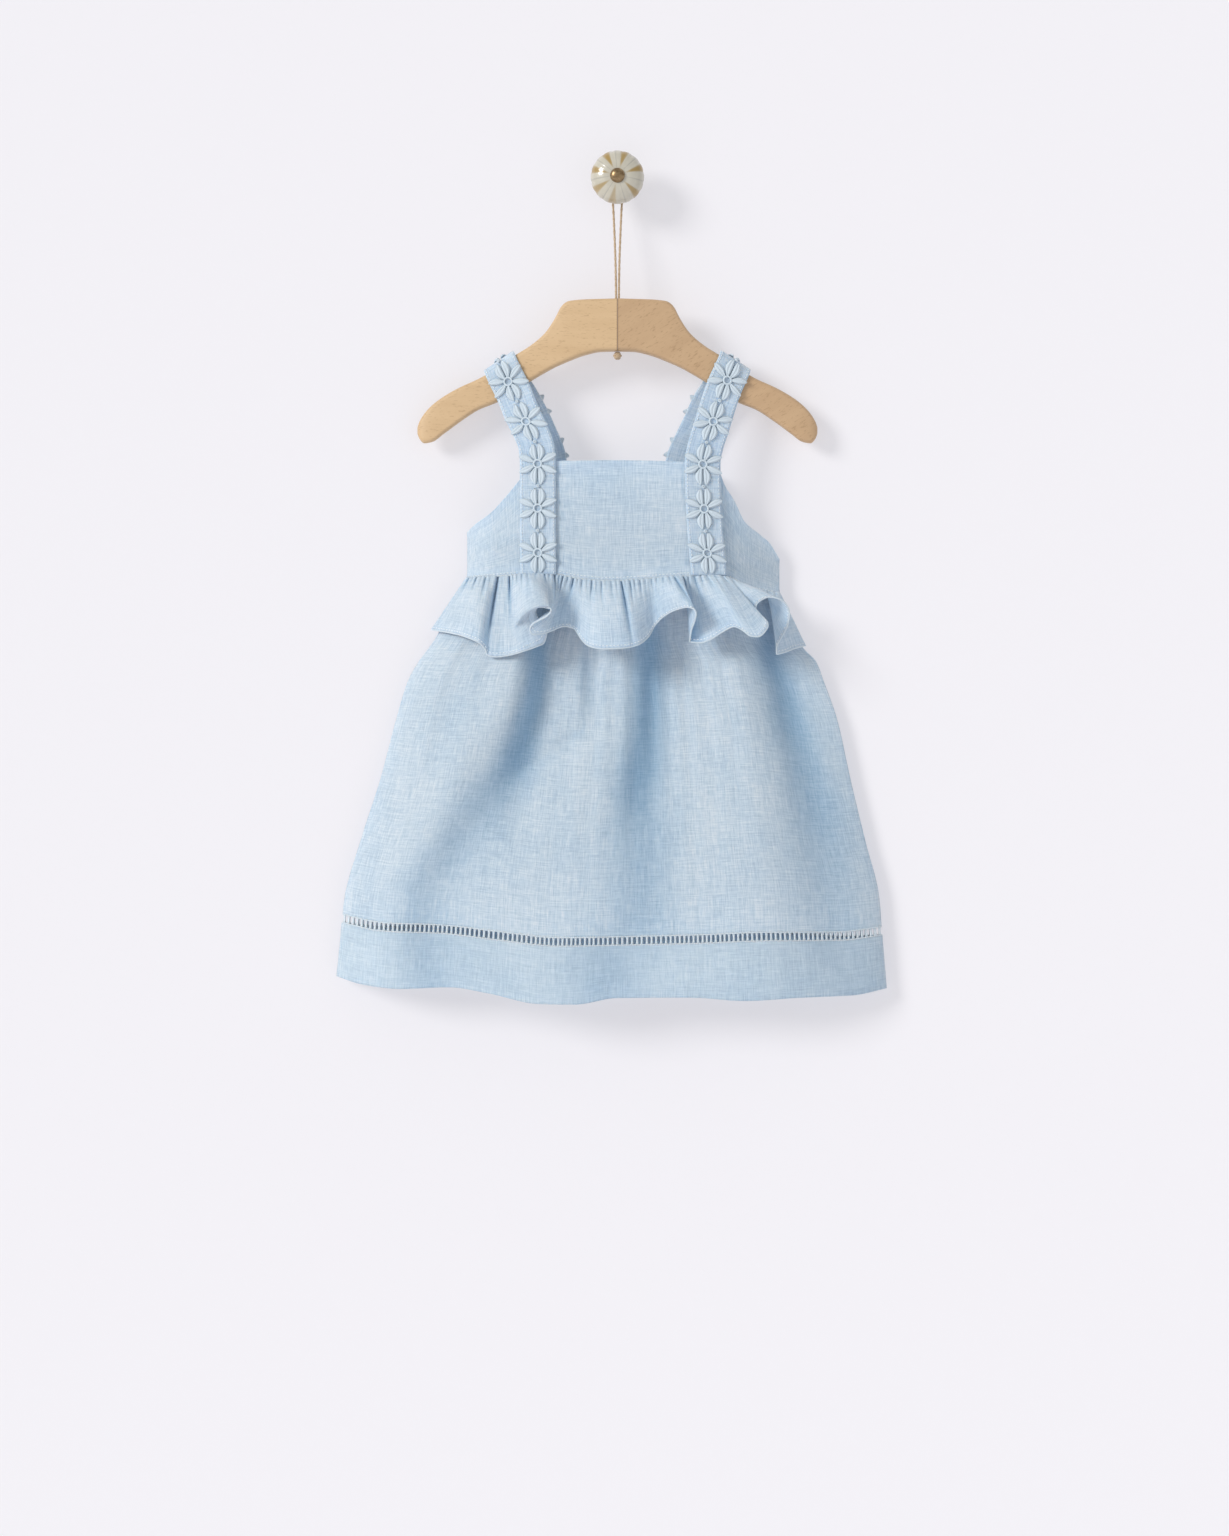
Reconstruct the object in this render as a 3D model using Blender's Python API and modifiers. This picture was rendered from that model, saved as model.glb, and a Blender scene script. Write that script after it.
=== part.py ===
"""A baby's linen pinafore dress on a two-piece wooden hanger, hung by a twine loop from a wall knob.

The origin is the centre of the knob's flat back, on the wall. X runs to the viewer's right, +Y runs into
the wall and Z is up. Sizes below are real, in millimetres, and MM turns them into Blender's metres. The
word "out" means the distance from the wall towards the viewer, so a point that is out 30 lies at Y -30.
"""

import math

import bmesh
import bpy
import numpy as np
from mathutils import Vector

MM = 0.001
GAP = 0.3
CLOTH = 1.2
HEM_CLOTH = 1.8

HANGER_LEAN = 6.0
HANGER_OUT = 30.0
TWINE_WIDTH = 1.8
TWINE_HOLE = 4.8
KNOB_RADIUS = 20.0
KNOB_LOBES = 16
KNOB_FLUTE = 0.5
NECK_RADIUS = 3.0

STRAP_WIDTH = 26.8
DAISY_PITCH = 33.2
DAISY_FIRST = 16.4
DAISIES_A_STRAP = 10
DAISY_CENTRE = 2.6
DAISY_RISE = 2.0
DAISY_EDGE = 1.1
TRIM_BEND_LIFT = 2.7
TRIM_BEND_REACH = 17.0

BACK_OUT = 8.4
NECK_DROP = 4.0
SEAM_GAP = 0.7
SKIRT_FULLNESS = 46.0
LADDER_HEIGHT = 5.2
PANEL_COLUMNS = 40
BACK_COLUMNS = 22
GATHER_PITCH = 9.0
RUFFLE_COLUMNS = 96
RUFFLE_ROWS = 7
TURN_SHARE = 4 / 7
ROLL_DENSITY = 2.0
LIP_LIFT = 5.5
GATHER_DEPTH = 0.8


def table(columns, *rows):
    """Named columns of a short table, as arrays."""
    return {name: np.array([row[i] for row in rows], float) for i, name in enumerate(columns.split())}


# Top edge and bottom edge of one hanger arm, measured from the centre outwards, with its thickness
HANGER_ARM = table(
    "across top bottom thick",
    (0.15, -90.8, -129.8, 14.0),
    (12, -91.0, -130.0, 14.0),
    (24, -91.2, -132.4, 13.8),
    (36, -92.2, -136.7, 13.5),
    (41.5, -95.6, -139.0, 13.3),
    (46.5, -104.8, -141.2, 13.0),
    (54, -115.8, -145.2, 12.5),
    (65, -125.2, -151.6, 12.0),
    (76, -132.0, -158.4, 11.5),
    (90, -141.6, -167.0, 11.0),
    (104, -149.6, -172.6, 10.6),
    (118, -155.8, -181.5, 10.2),
    (130, -162.4, -190.2, 9.8),
    (139, -169.0, -196.4, 9.2),
    (145, -175.4, -197.4, 8.0),
    (148.6, -181.2, -194.0, 5.6),
    (150, -185.2, -190.4, 3.0),
)

# The ceramic knob's turned profile, from its neck to its face
KNOB_HEAD = table(
    "out radius",
    (16.3, 5.0),
    (17.0, 9.5),
    (19.2, 14.2),
    (22.6, 17.6),
    (26.6, 19.6),
    (30.6, 20.0),
    (34.6, 18.4),
    (37.8, 14.6),
    (39.8, 9.6),
    (40.2, 5.6),
)

# The waist seam of the dress, seen from the front
WAIST = table(
    "across height",
    (-112.7, -297.6),
    (-87, -296.5),
    (-60, -295.7),
    (-46, -295.8),
    (-28, -299.1),
    (-6, -300.7),
    (24, -299.1),
    (50, -297.2),
    (73, -296.1),
    (95, -303.5),
    (106, -306.8),
    (121.6, -308.8),
)

# How far the front stands out from the wall, from one side seam to the other
FRONT_CROWN = table(
    "across out",
    (-112.7, 10),
    (-106, 18),
    (-92, 26.5),
    (-60, 32),
    (0, 35),
    (50, 35),
    (75, 32),
    (90, 26),
    (106, 17.5),
    (121.6, 10),
)

# Top edge of the bodice: left armhole, neckline, right armhole
BODICE_TOP = table(
    "across height",
    (-112.7, -264),
    (-106, -258.2),
    (-95, -250.7),
    (-83.7, -238.8),
    (-72.5, -225.4),
    (-65, -216.5),
    (-57.7, -212.2),
    (0, -211.6),
    (51, -212.8),
    (68, -214.5),
    (75.5, -219.5),
    (80, -230),
    (87.4, -241.8),
    (95, -256.7),
    (106, -265.6),
    (113.5, -271.6),
    (121.6, -284),
)

# Sides of the skirt, from the waist down
SKIRT_SIDES = table(
    "height left right",
    (-297.6, -112.7, 121.6),
    (-309, -117, 121.7),
    (-330, -129, 130),
    (-345, -137.5, 135.5),
    (-353, -143.2, 141.5),
    (-361, -149.2, 149.2),
    (-376, -157.4, 155.1),
    (-405, -166.3, 165.2),
    (-450, -178.2, 175.2),
    (-495, -192.7, 186),
    (-539, -205, 196.8),
    (-569, -207.9, 199),
    (-606, -211.7, 202),
)

# Middle line of the drawn thread ladder above the hem
LADDER = table(
    "across height",
    (-206, -554),
    (-176, -559.4),
    (-132, -561),
    (-87, -565.8),
    (-43, -570),
    (0, -569.4),
    (61, -568),
    (110, -566.2),
    (166, -566.6),
    (199, -563.2),
)

# The hem's lower edge
HEM = table(
    "across height",
    (-211.7, -597.4),
    (-190, -603),
    (-162, -605.6),
    (-125, -604.2),
    (-95, -608.6),
    (-58, -616),
    (-32, -616.4),
    (0, -611.6),
    (54, -611.3),
    (95, -613.8),
    (136, -611.8),
    (175, -611),
    (202, -606.4),
)

# Long troughs that fall from the waist in the front: where each runs, how wide and how deep it is
SKIRT_FOLDS = (
    table(
        "height across width depth",
        (-300, -48, 10, 0), (-353, -60, 12, 10), (-390, -71, 14, 14), (-425, -82, 16, 15),
        (-470, -110, 18, 14), (-524, -138, 21, 12), (-606, -150, 26, 11),
    ),
    table(
        "height across width depth",
        (-300, -24, 7, 0), (-353, -24, 8, 6), (-428, -26, 10, 5), (-500, -34, 14, 2), (-606, -50, 20, 0),
    ),
    table(
        "height across width depth",
        (-300, 24, 9, 0), (-353, 23, 13, 9), (-420, 20, 16, 13), (-510, 16, 21, 15), (-606, -2, 30, 14),
    ),
    table(
        "height across width depth",
        (-300, 88, 8, 0), (-353, 106, 9, 9), (-390, 120, 11, 13), (-450, 134, 13, 14),
        (-495, 142, 14, 12), (-606, 156, 18, 8),
    ),
)

# Swells between the troughs
SKIRT_SWELLS = (
    table("height across width depth", (-300, -92, 14, 0), (-370, -118, 18, 4), (-606, -186, 24, 4)),
    table("height across width depth", (-300, -42, 12, 0), (-360, -42, 14, 5), (-606, -82, 34, 10)),
    table("height across width depth", (-300, 60, 16, 0), (-400, 66, 26, 8), (-606, 66, 40, 10)),
    table("height across width depth", (-300, 110, 10, 0), (-380, 146, 10, 4), (-606, 186, 16, 5)),
)

# The front ruffle's hem, wave after wave: where the thread leaves the waist seam, and where it ends
RUFFLE_FRONT = table(
    "seam across height out",
    (-112.5, -139.8, -337.0, 13),
    (-110, -132.0, -338.5, 20),
    (-105, -121.0, -340.8, 29),
    (-100, -109.7, -344.5, 39),
    (-95, -102.3, -348.2, 43),
    (-92, -98.2, -353.0, 42),
    (-89.5, -96.6, -356.8, 39.5),
    (-86, -89.7, -358.2, 40),
    (-81.5, -80.0, -357.0, 43),
    (-76.5, -69.6, -354.1, 46),
    (-71.5, -61.4, -351.2, 46),
    (-67.5, -54.7, -347.8, 42),
    (-64.5, -52.6, -340.0, 40.5),
    (-62, -57.2, -332.0, 43),
    (-59.5, -60.6, -325.4, 46),
    (-57, -59.6, -322.0, 52),
    (-54.7, -55.2, -322.0, 57.5),
    (-53.2, -52.0, -322.8, 60.8),
    (-51.7, -50.2, -322.6, 62.8),
    (-50.2, -49.0, -325.0, 63),
    (-48.7, -52.4, -328.8, 60),
    (-47.2, -57.8, -331.6, 57),
    (-45.7, -63.2, -334.8, 55),
    (-44.2, -64.8, -338.6, 54),
    (-42.7, -62.2, -342.0, 53),
    (-40.5, -55.4, -341.4, 50),
    (-37.5, -48.0, -338.6, 46),
    (-34.5, -39.8, -335.6, 43),
    (-30, -32.4, -337.2, 43),
    (-25, -27.2, -344.6, 47),
    (-19, -21.2, -350.5, 53),
    (-11.5, -10.0, -352.8, 58),
    (-2, 3.4, -352.3, 59),
    (8.5, 14.5, -350.0, 57),
    (16.7, 22.7, -343.8, 50),
    (24, 27.9, -334.8, 45),
    (31, 34.6, -328.2, 48),
    (37, 42.8, -324.0, 56),
    (41.3, 51.0, -322.2, 64),
    (44.3, 56.6, -324.0, 67),
    (46.5, 58.0, -327.4, 66),
    (48, 56.9, -332.6, 60),
    (49.5, 54.7, -339.2, 52),
    (51, 53.6, -347.0, 45),
    (54, 61.4, -347.8, 46),
    (57.7, 68.8, -345.6, 49),
    (62, 77.8, -340.0, 53),
    (66, 86.0, -336.3, 58),
    (69.6, 92.6, -339.3, 63),
    (72.5, 98.6, -343.7, 65),
    (74.8, 103.8, -344.1, 65),
    (77, 109.0, -340.0, 63),
    (78.5, 111.2, -335.5, 60),
    (80, 109.7, -331.4, 57),
    (81.5, 105.3, -329.2, 53),
    (83, 102.3, -325.9, 50),
    (85.2, 102.7, -320.7, 48),
    (88.2, 106.8, -316.2, 47),
    (91.2, 112.7, -314.0, 46),
    (95.6, 119.4, -315.1, 44),
    (100, 125.4, -319.2, 41),
    (103.8, 128.0, -325.9, 37),
    (106.8, 127.2, -333.3, 33),
    (109.7, 122.6, -343.0, 31.5),
    (112.4, 118.8, -351.0, 31),
    (114.6, 118.8, -356.0, 31),
    (116.8, 124.2, -354.8, 28.2),
    (119, 132.0, -351.6, 22),
    (121.4, 141.2, -349.0, 13.6),
)

# The left roll, where the cloth folds over itself: its crest, and the hollow under the crest
ROLL = table(
    "seam crest_across crest_height crest_out under_across under_height under_out",
    (-81.5, -80.6, -332.5, 39.4, -80.3, -344.0, 41.2),
    (-76.5, -75.5, -332.5, 47.6, -74.0, -337.0, 45.0),
    (-71.5, -70.3, -327.3, 56.0, -68.8, -329.5, 45.0),
    (-67.5, -64.5, -323.2, 61.0, -66.0, -323.8, 44.0),
    (-64.5, -60.8, -321.7, 63.0, -66.0, -322.6, 46.0),
    (-62, -58.0, -321.0, 64.0, -64.8, -321.6, 50.0),
    (-59.5, -55.6, -320.8, 64.6, -61.6, -321.2, 55.0),
    (-57, -53.4, -320.9, 64.8, -57.6, -321.0, 59.2),
    (-54.7, -51.6, -321.1, 64.6, -53.4, -321.8, 61.6),
    (-53.2, -50.6, -321.3, 64.3, -51.2, -322.2, 62.8),
)

# Share of a thread's length that lies above the roll's crest, or above the same thread count elsewhere
RUFFLE_TURN = table(
    "seam turn",
    (-112.5, 0.57), (-84, 0.57), (-81.5, 0.6), (-76.5, 0.6), (-71.5, 0.56), (-67.5, 0.54),
    (-64.5, 0.6), (-62, 0.7), (-59.5, 0.79), (-57, 0.86), (-54.7, 0.88), (-53.2, 0.88),
    (-51.7, 0.86), (-50.2, 0.82), (-47.2, 0.72), (-44.2, 0.62), (-41, 0.57), (121.4, 0.57),
)

# How far the front ruffle's middle bellies out past a straight line, and to one side, along the seam
RUFFLE_BELLY = table(
    "seam belly side",
    (-112.5, 1, 0), (-100, 5, 0), (-88, 1.5, 0), (-76, 5, 0), (-56, 7, 0), (-52, 4, 0), (-49.5, 3, 3),
    (-47, 2, 7), (-44, 2, 8), (-41, 1.5, 4), (-38, 1, 0), (-25, 5, 0), (0, 8, 0), (15, 5, 0), (25, 2, 0),
    (40, 8, 0), (47, 6, 0), (51, 2, 0), (60, 3, 0), (72, 7, 0), (80, 3, 0), (92, 6, 0), (104, 2, 0),
    (121.4, 1, 0),
)

# Straps, from the waist seam up the front, over the hanger and down the back. The tilt is in degrees
STRAP_LEFT = table(
    "across height out tilt yaw",
    (-59.1, -295.0, 34.1, 0, 5.5),
    (-59.3, -268, 34.1, 0, 5.5),
    (-59.3, -242, 34.1, 0, 5.5),
    (-59.4, -214, 34.1, 1, 5.5),
    (-60.3, -202, 34.2, 7, 5.5),
    (-65.2, -189, 33.6, 15, 5.5),
    (-71.8, -175, 31.8, 20, 6),
    (-77.4, -161, 29.8, 25, 6),
    (-83.6, -148.4, 28.4, 30, 6),
    (-86.6, -142.0, 28.0, 32, 6),
    (-88.2, -137.8, 25.8, 33, 6),
    (-88.8, -136.2, 20.8, 33, 6),
    (-88.2, -137.6, 15.8, 33, 6),
    (-86.6, -142.0, 13.6, 32, 6),
    (-83.6, -148.4, 13.0, 30, 6),
    (-76.2, -161.5, 12.0, 26, 5),
    (-65.8, -186, 8.8, 20, 2),
    (-56.6, -208, 6.8, 12, 0),
    (-54.2, -226, 6.6, 3, 0),
    (-53.6, -250, 6.6, 0, 0),
    (-53.6, -272, 6.6, 0, 0),
    (-53.6, -294.8, 6.6, 0, 0),
)
STRAP_RIGHT = table(
    "across height out tilt yaw",
    (68.1, -295.0, 35.4, 0, -7.2),
    (65.6, -268, 35.6, 0, -7),
    (64.2, -242, 35.8, 0, -7),
    (63.4, -214, 36.0, -2, -7),
    (65.4, -202, 35.6, -8, -7),
    (69.4, -189, 34.2, -14, -7),
    (74.6, -172, 31.8, -20, -6),
    (80.0, -156, 29.4, -26, -6),
    (83.8, -147.6, 28.4, -30, -6),
    (86.6, -141.4, 28.0, -32, -6),
    (88.0, -137.4, 25.8, -33, -6),
    (88.4, -135.8, 20.8, -33, -6),
    (88.0, -137.2, 15.8, -33, -6),
    (86.4, -141.6, 13.6, -32, -6),
    (83.2, -148.0, 13.0, -30, -6),
    (73.0, -161, 12.0, -26, -5),
    (60.6, -186, 8.8, -20, -2),
    (50.6, -208, 6.8, -14, 0),
    (47.2, -226, 6.6, -4, 0),
    (46.6, -250, 6.6, 0, 0),
    (46.6, -272, 6.6, 0, 0),
    (46.6, -294.8, 6.6, 0, 0),
)

# Half of the twine's route: up one leg from the knot, through the hanger, to the top of the knob's neck
TWINE_LEG = table(
    "across out height",
    (1.05, 30.0, -129.8),
    (1.05, 30.0, -118),
    (1.05, 30.0, -104),
    (1.05, 30.0, -92),
    (1.15, 28.2, -80),
    (1.5, 25.2, -62),
    (2.2, 21.0, -42),
    (3.2, 15.8, -20),
    (4.4, 11.8, -4),
    (4.1, 10.3, 1.6),
    (2.6, 10.0, 3.8),
    (0.0, 10.0, 4.6),
)


def smooth(places, values, place):
    """Value of the smooth curve through the points at each place, without overshoot."""
    rise = np.diff(values) / np.diff(places)
    slope = np.empty_like(values)
    slope[0], slope[-1] = rise[0], rise[-1]
    for i in range(1, len(values) - 1):
        before, after = rise[i - 1], rise[i]
        slope[i] = 0.0 if before * after <= 0 else 2 * before * after / (before + after)
    i = np.clip(np.searchsorted(places, place) - 1, 0, len(places) - 2)
    step = places[i + 1] - places[i]
    t = np.clip((place - places[i]) / step, 0.0, 1.0)
    start = (1 + 2 * t) * (1 - t) ** 2 * values[i] + t * (1 - t) ** 2 * step * slope[i]
    return start + t * t * (3 - 2 * t) * values[i + 1] + t * t * (t - 1) * step * slope[i + 1]


def read(rows, key, place, column):
    """One column of a table, read smoothly at a place given by its key column."""
    order = 1 if rows[key][0] < rows[key][-1] else -1
    return smooth(rows[key][::order], rows[column][::order], place)


def ease(share):
    return share * share * (3 - 2 * share)


def point(across, out, height):
    return Vector((across, -out, height)) * MM


def material(name, colour, roughness, metallic=0.0):
    made = bpy.data.materials.new(name)
    made.use_nodes = True
    shader = made.node_tree.nodes["Principled BSDF"]
    shader.inputs["Base Color"].default_value = (*colour, 1)
    shader.inputs["Roughness"].default_value = roughness
    shader.inputs["Metallic"].default_value = metallic
    return made


def add_object(name, data, finish, collection):
    data.materials.append(finish)
    made = bpy.data.objects.new(name, data)
    collection.objects.link(made)
    return made


def mesh_from(name, points, faces, sharp=True):
    """A mesh with its faces turned outwards and shaded smooth, but for its sharp edges."""
    shape = bmesh.new()
    corners = [shape.verts.new(p) for p in points]
    for face in faces:
        shape.faces.new([corners[i] for i in face])
    bmesh.ops.remove_doubles(shape, verts=shape.verts, dist=0.01 * MM)
    bmesh.ops.recalc_face_normals(shape, faces=shape.faces)
    mesh = bpy.data.meshes.new(name)
    shape.to_mesh(mesh)
    shape.free()
    mesh.shade_smooth()
    if sharp:
        mesh.set_sharp_from_angle(angle=math.radians(40))
    return mesh


def cloth(name, surface, columns, rows, finish, collection, thickness=CLOTH):
    """A wall of cloth over surface(across share, down share), with its thickness on both sides of it."""
    points = [surface(c / columns, r / rows) for c in range(columns + 1) for r in range(rows + 1)]
    faces = []
    for c in range(columns):
        for r in range(rows):
            here, there = c * (rows + 1) + r, (c + 1) * (rows + 1) + r
            faces.append((here, there, there + 1, here + 1))
    made = add_object(name, mesh_from(name, points, faces, sharp=False), finish, collection)
    wall = made.modifiers.new("Cloth thickness", "SOLIDIFY")
    wall.thickness = thickness * MM
    wall.offset = 0.0
    return made


def loft(name, rings, finish, collection):
    """A closed skin over rings of equal point count, with a flat cap on each end."""
    count = len(rings[0])
    points = [p for ring in rings for p in ring]
    faces = [tuple(range(count)), tuple(range(len(points) - count, len(points)))]
    for r in range(len(rings) - 1):
        for i in range(count):
            j = (i + 1) % count
            faces.append((r * count + i, r * count + j, (r + 1) * count + j, (r + 1) * count + i))
    return add_object(name, mesh_from(name, points, faces), finish, collection)


def turned(name, profile, steps, finish, collection):
    """A turned piece on the knob's axis, from (out, radius) pairs that run from the wall outwards."""
    mesh = bpy.data.meshes.new(name)
    pairs = [(radius * MM, 0.0, out * MM) for out, radius in reversed(profile)]
    mesh.from_pydata(pairs, [(i, i + 1) for i in range(len(pairs) - 1)], [])
    made = add_object(name, mesh, finish, collection)
    made.rotation_euler = (math.radians(90), 0, 0)
    spin = made.modifiers.new("Turn", "SCREW")
    spin.steps = spin.render_steps = steps
    spin.use_merge_vertices = True
    spin.merge_threshold = 0.00001
    spin.use_smooth_shade = True
    return made


def hanger_arm(side, finish, collection, cutter):
    """One arm of the hanger: rounded sections from the mitre at the centre to the tip."""
    rings = []
    lean = math.tan(math.radians(HANGER_LEAN))
    for i, across in enumerate(HANGER_ARM["across"]):
        top, bottom = HANGER_ARM["top"][i], HANGER_ARM["bottom"][i]
        half_thick = HANGER_ARM["thick"][i] / 2
        half_tall = (top - bottom) / 2
        corner = min(3.6, 0.8 * half_thick, 0.8 * half_tall)
        out = HANGER_OUT - across * lean
        ring = []
        for k in range(12):
            angle = math.radians(90 * (k // 3) + 45 * (k % 3))
            side_out = math.copysign(half_thick - corner, math.cos(math.radians(90 * (k // 3) + 45)))
            side_up = math.copysign(half_tall - corner, math.sin(math.radians(90 * (k // 3) + 45)))
            ring.append(
                point(
                    side * across,
                    out + side_out + corner * math.cos(angle),
                    (top + bottom) / 2 + side_up + corner * math.sin(angle),
                )
            )
        rings.append(ring)
    name = "hanger_left" if side < 0 else "hanger_right"
    arm = loft(name, rings, finish, collection)
    hole = arm.modifiers.new("Twine hole", "BOOLEAN")
    hole.operation = "DIFFERENCE"
    hole.object = cutter
    return arm


def twine_hole_cutter(collection):
    """A rod through the hanger's centre, which cuts half of the twine's hole from each arm."""
    shape = bmesh.new()
    bmesh.ops.create_cone(
        shape,
        cap_ends=True,
        segments=16,
        radius1=TWINE_HOLE / 2 * MM,
        radius2=TWINE_HOLE / 2 * MM,
        depth=60 * MM,
    )
    mesh = bpy.data.meshes.new("twine_hole_cutter")
    shape.to_mesh(mesh)
    shape.free()
    cutter = bpy.data.objects.new("twine_hole_cutter", mesh)
    cutter.location = point(0, HANGER_OUT, -110)
    cutter.hide_render = True
    cutter.display_type = "WIRE"
    collection.objects.link(cutter)
    return cutter


def knob_head(finish, collection):
    """The ceramic head, turned and then fluted like a melon."""
    around = KNOB_LOBES * 2
    rings = []
    for out, radius in zip(KNOB_HEAD["out"], KNOB_HEAD["radius"]):
        flute = KNOB_FLUTE * radius / KNOB_RADIUS
        ring = []
        for k in range(around):
            angle = 2 * math.pi * k / around
            bulge = radius - flute * (k % 2)
            ring.append(point(bulge * math.cos(angle), out, bulge * math.sin(angle)))
        rings.append(ring)
    return loft("wall_knob", rings, finish, collection)


def twine(finish, collection):
    """The doubled twine from its knot, up through the hanger and round the knob's neck."""
    count = 24
    stations = np.linspace(0, len(TWINE_LEG["across"]) - 1, count + 1)
    leg = [
        [smooth(np.arange(len(TWINE_LEG[c])), TWINE_LEG[c], s) for c in ("across", "out", "height")]
        for s in stations
    ]
    back = [(-across, out, height) for across, out, height in reversed(leg[:-1])]
    curve = bpy.data.curves.new("twine_loop", "CURVE")
    curve.dimensions = "3D"
    curve.bevel_depth = TWINE_WIDTH / 2 * MM
    curve.bevel_resolution = 2
    curve.use_fill_caps = True
    line = curve.splines.new("POLY")
    route = leg + back
    line.points.add(len(route) - 1)
    for spot, (across, out, height) in zip(line.points, route):
        spot.co = (*point(across, out, height), 1)
    return add_object("twine_loop", curve, finish, collection)


def twine_knot(finish, collection):
    """The overhand knot that stops the twine under the hanger."""
    shape = bmesh.new()
    bmesh.ops.create_uvsphere(shape, u_segments=12, v_segments=8, radius=3.3 * MM)
    bmesh.ops.scale(shape, vec=(1.0, 0.95, 0.92), verts=shape.verts)
    bmesh.ops.translate(shape, vec=point(0, HANGER_OUT, -133.3), verts=shape.verts)
    mesh = bpy.data.meshes.new("twine_knot")
    shape.to_mesh(mesh)
    shape.free()
    mesh.shade_smooth()
    return add_object("twine_knot", mesh, finish, collection)


def front_out(across):
    return read(FRONT_CROWN, "across", across, "out")


def bodice_front(share, down):
    across = WAIST["across"][0] + share * (WAIST["across"][-1] - WAIST["across"][0])
    top = read(BODICE_TOP, "across", across, "height")
    seam = read(WAIST, "across", across, "height") + SEAM_GAP / 2
    return point(across, front_out(across), top + down * (seam - top))


def bodice_back(share, down):
    """The back lies near the wall, a little lower at the neck than the front."""
    across = WAIST["across"][0] + share * (WAIST["across"][-1] - WAIST["across"][0])
    top = read(BODICE_TOP, "across", across, "height") - NECK_DROP * math.sin(math.pi * share)
    seam = read(WAIST, "across", across, "height") + SEAM_GAP / 2
    return point(across, BACK_OUT, top + down * (seam - top))


def skirt_side(share, height):
    left = read(SKIRT_SIDES, "height", height, "left")
    right = read(SKIRT_SIDES, "height", height, "right")
    return left + share * (right - left)


def skirt_front(share, drop):
    """The front of the skirt, at a share of its width and of its whole drop from waist to hem."""
    top_across = skirt_side(share, SKIRT_SIDES["height"][0])
    top = read(WAIST, "across", top_across, "height") - SEAM_GAP / 2
    low = read(HEM, "across", skirt_side(share, SKIRT_SIDES["height"][-1]), "height")
    height = top + drop * (low - top)
    across = skirt_side(share, height)
    crown = (1 - abs(2 * share - 1) ** 2.6) ** 0.8
    full = FRONT_CROWN["out"][0] + 0.4 + SKIRT_FULLNESS * crown
    out = front_out(top_across) + (full - front_out(top_across)) * drop ** 1.2
    edge = min(1.0, 8 * share, 8 * (1 - share))
    for rows, way in [(r, -1) for r in SKIRT_FOLDS] + [(r, 1) for r in SKIRT_SWELLS]:
        middle = read(rows, "height", height, "across")
        width = read(rows, "height", height, "width")
        depth = read(rows, "height", height, "depth")
        out += way * edge * depth * math.exp(-(((across - middle) / width) ** 2))
    return across, out, height


def skirt_back(share, drop):
    """The back of the skirt hangs close to the wall in shallow waves."""
    top_across = skirt_side(share, SKIRT_SIDES["height"][0])
    top = read(WAIST, "across", top_across, "height") - SEAM_GAP / 2
    low = read(HEM, "across", skirt_side(share, SKIRT_SIDES["height"][-1]), "height")
    low -= 1.6 * math.sin(math.pi * share)
    height = top + drop * (low - top)
    edge = math.sin(math.pi * share)
    wave = 2.4 * ease(drop) * edge * math.sin(2 * math.pi * (4.5 * share + 0.1))
    return skirt_side(share, height), BACK_OUT - 0.3 * drop - 1.4 * edge * ease(drop) + 0.8 * wave, height


def ladder_drops(panel, share):
    """Where the ladder's upper and lower edge lie in the skirt's drop."""
    top = panel(share, 0.0)[2]
    low = panel(share, 1.0)[2]
    across = panel(share, 0.86)[0]
    middle = read(LADDER, "across", np.clip(across, -206, 199), "height")
    upper = (middle + LADDER_HEIGHT / 2 - top) / (low - top)
    lower = (middle - LADDER_HEIGHT / 2 - top) / (low - top)
    return upper, lower


def panel_band(panel, part):
    """The stretch of a skirt panel that is the skirt itself, the ladder strip or the hem band."""
    gap = GAP / 2 / 300

    def surface(share, down):
        upper, lower = ladder_drops(panel, share)
        start, end = {
            "skirt": (0.0, upper - gap),
            "ladder": (upper + gap, lower - gap),
            "hem": (lower + gap, 1.0),
        }[part]
        return point(*panel(share, start + down * (end - start)))

    return surface


def along(rows, key, count):
    """Places evenly spaced along a hem and its seam together, as positions in the table's rows."""
    fine = np.linspace(0, len(rows[key]) - 1, 1200)
    index = np.arange(len(rows[key]))
    path = np.stack([smooth(index, rows[c], fine) for c in (key, "across", "height", "out")])
    steps = np.linalg.norm(np.diff(path, axis=1), axis=0) + 1.6 * np.abs(np.diff(path[0]))
    rolled = (path[0][1:] > ROLL["seam"][1]) & (path[0][1:] < ROLL["seam"][-1] + 10)
    steps = np.where(rolled, ROLL_DENSITY * steps, steps)
    travelled = np.concatenate([[0], np.cumsum(steps)])
    return np.interp(np.linspace(0, travelled[-1], count + 1), travelled, fine)


def ruffle_start(seam):
    """Where the front ruffle's cloth leaves the waist seam, just outside the top of the skirt."""
    slope = (front_out(seam + 1.0) - front_out(seam - 1.0)) / 2.0
    length = math.hypot(1.0, slope)
    outside = CLOTH + GAP + 0.2
    height = read(WAIST, "across", seam, "height") - SEAM_GAP / 2
    return seam - outside * slope / length, front_out(seam) + outside / length, height


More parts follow.
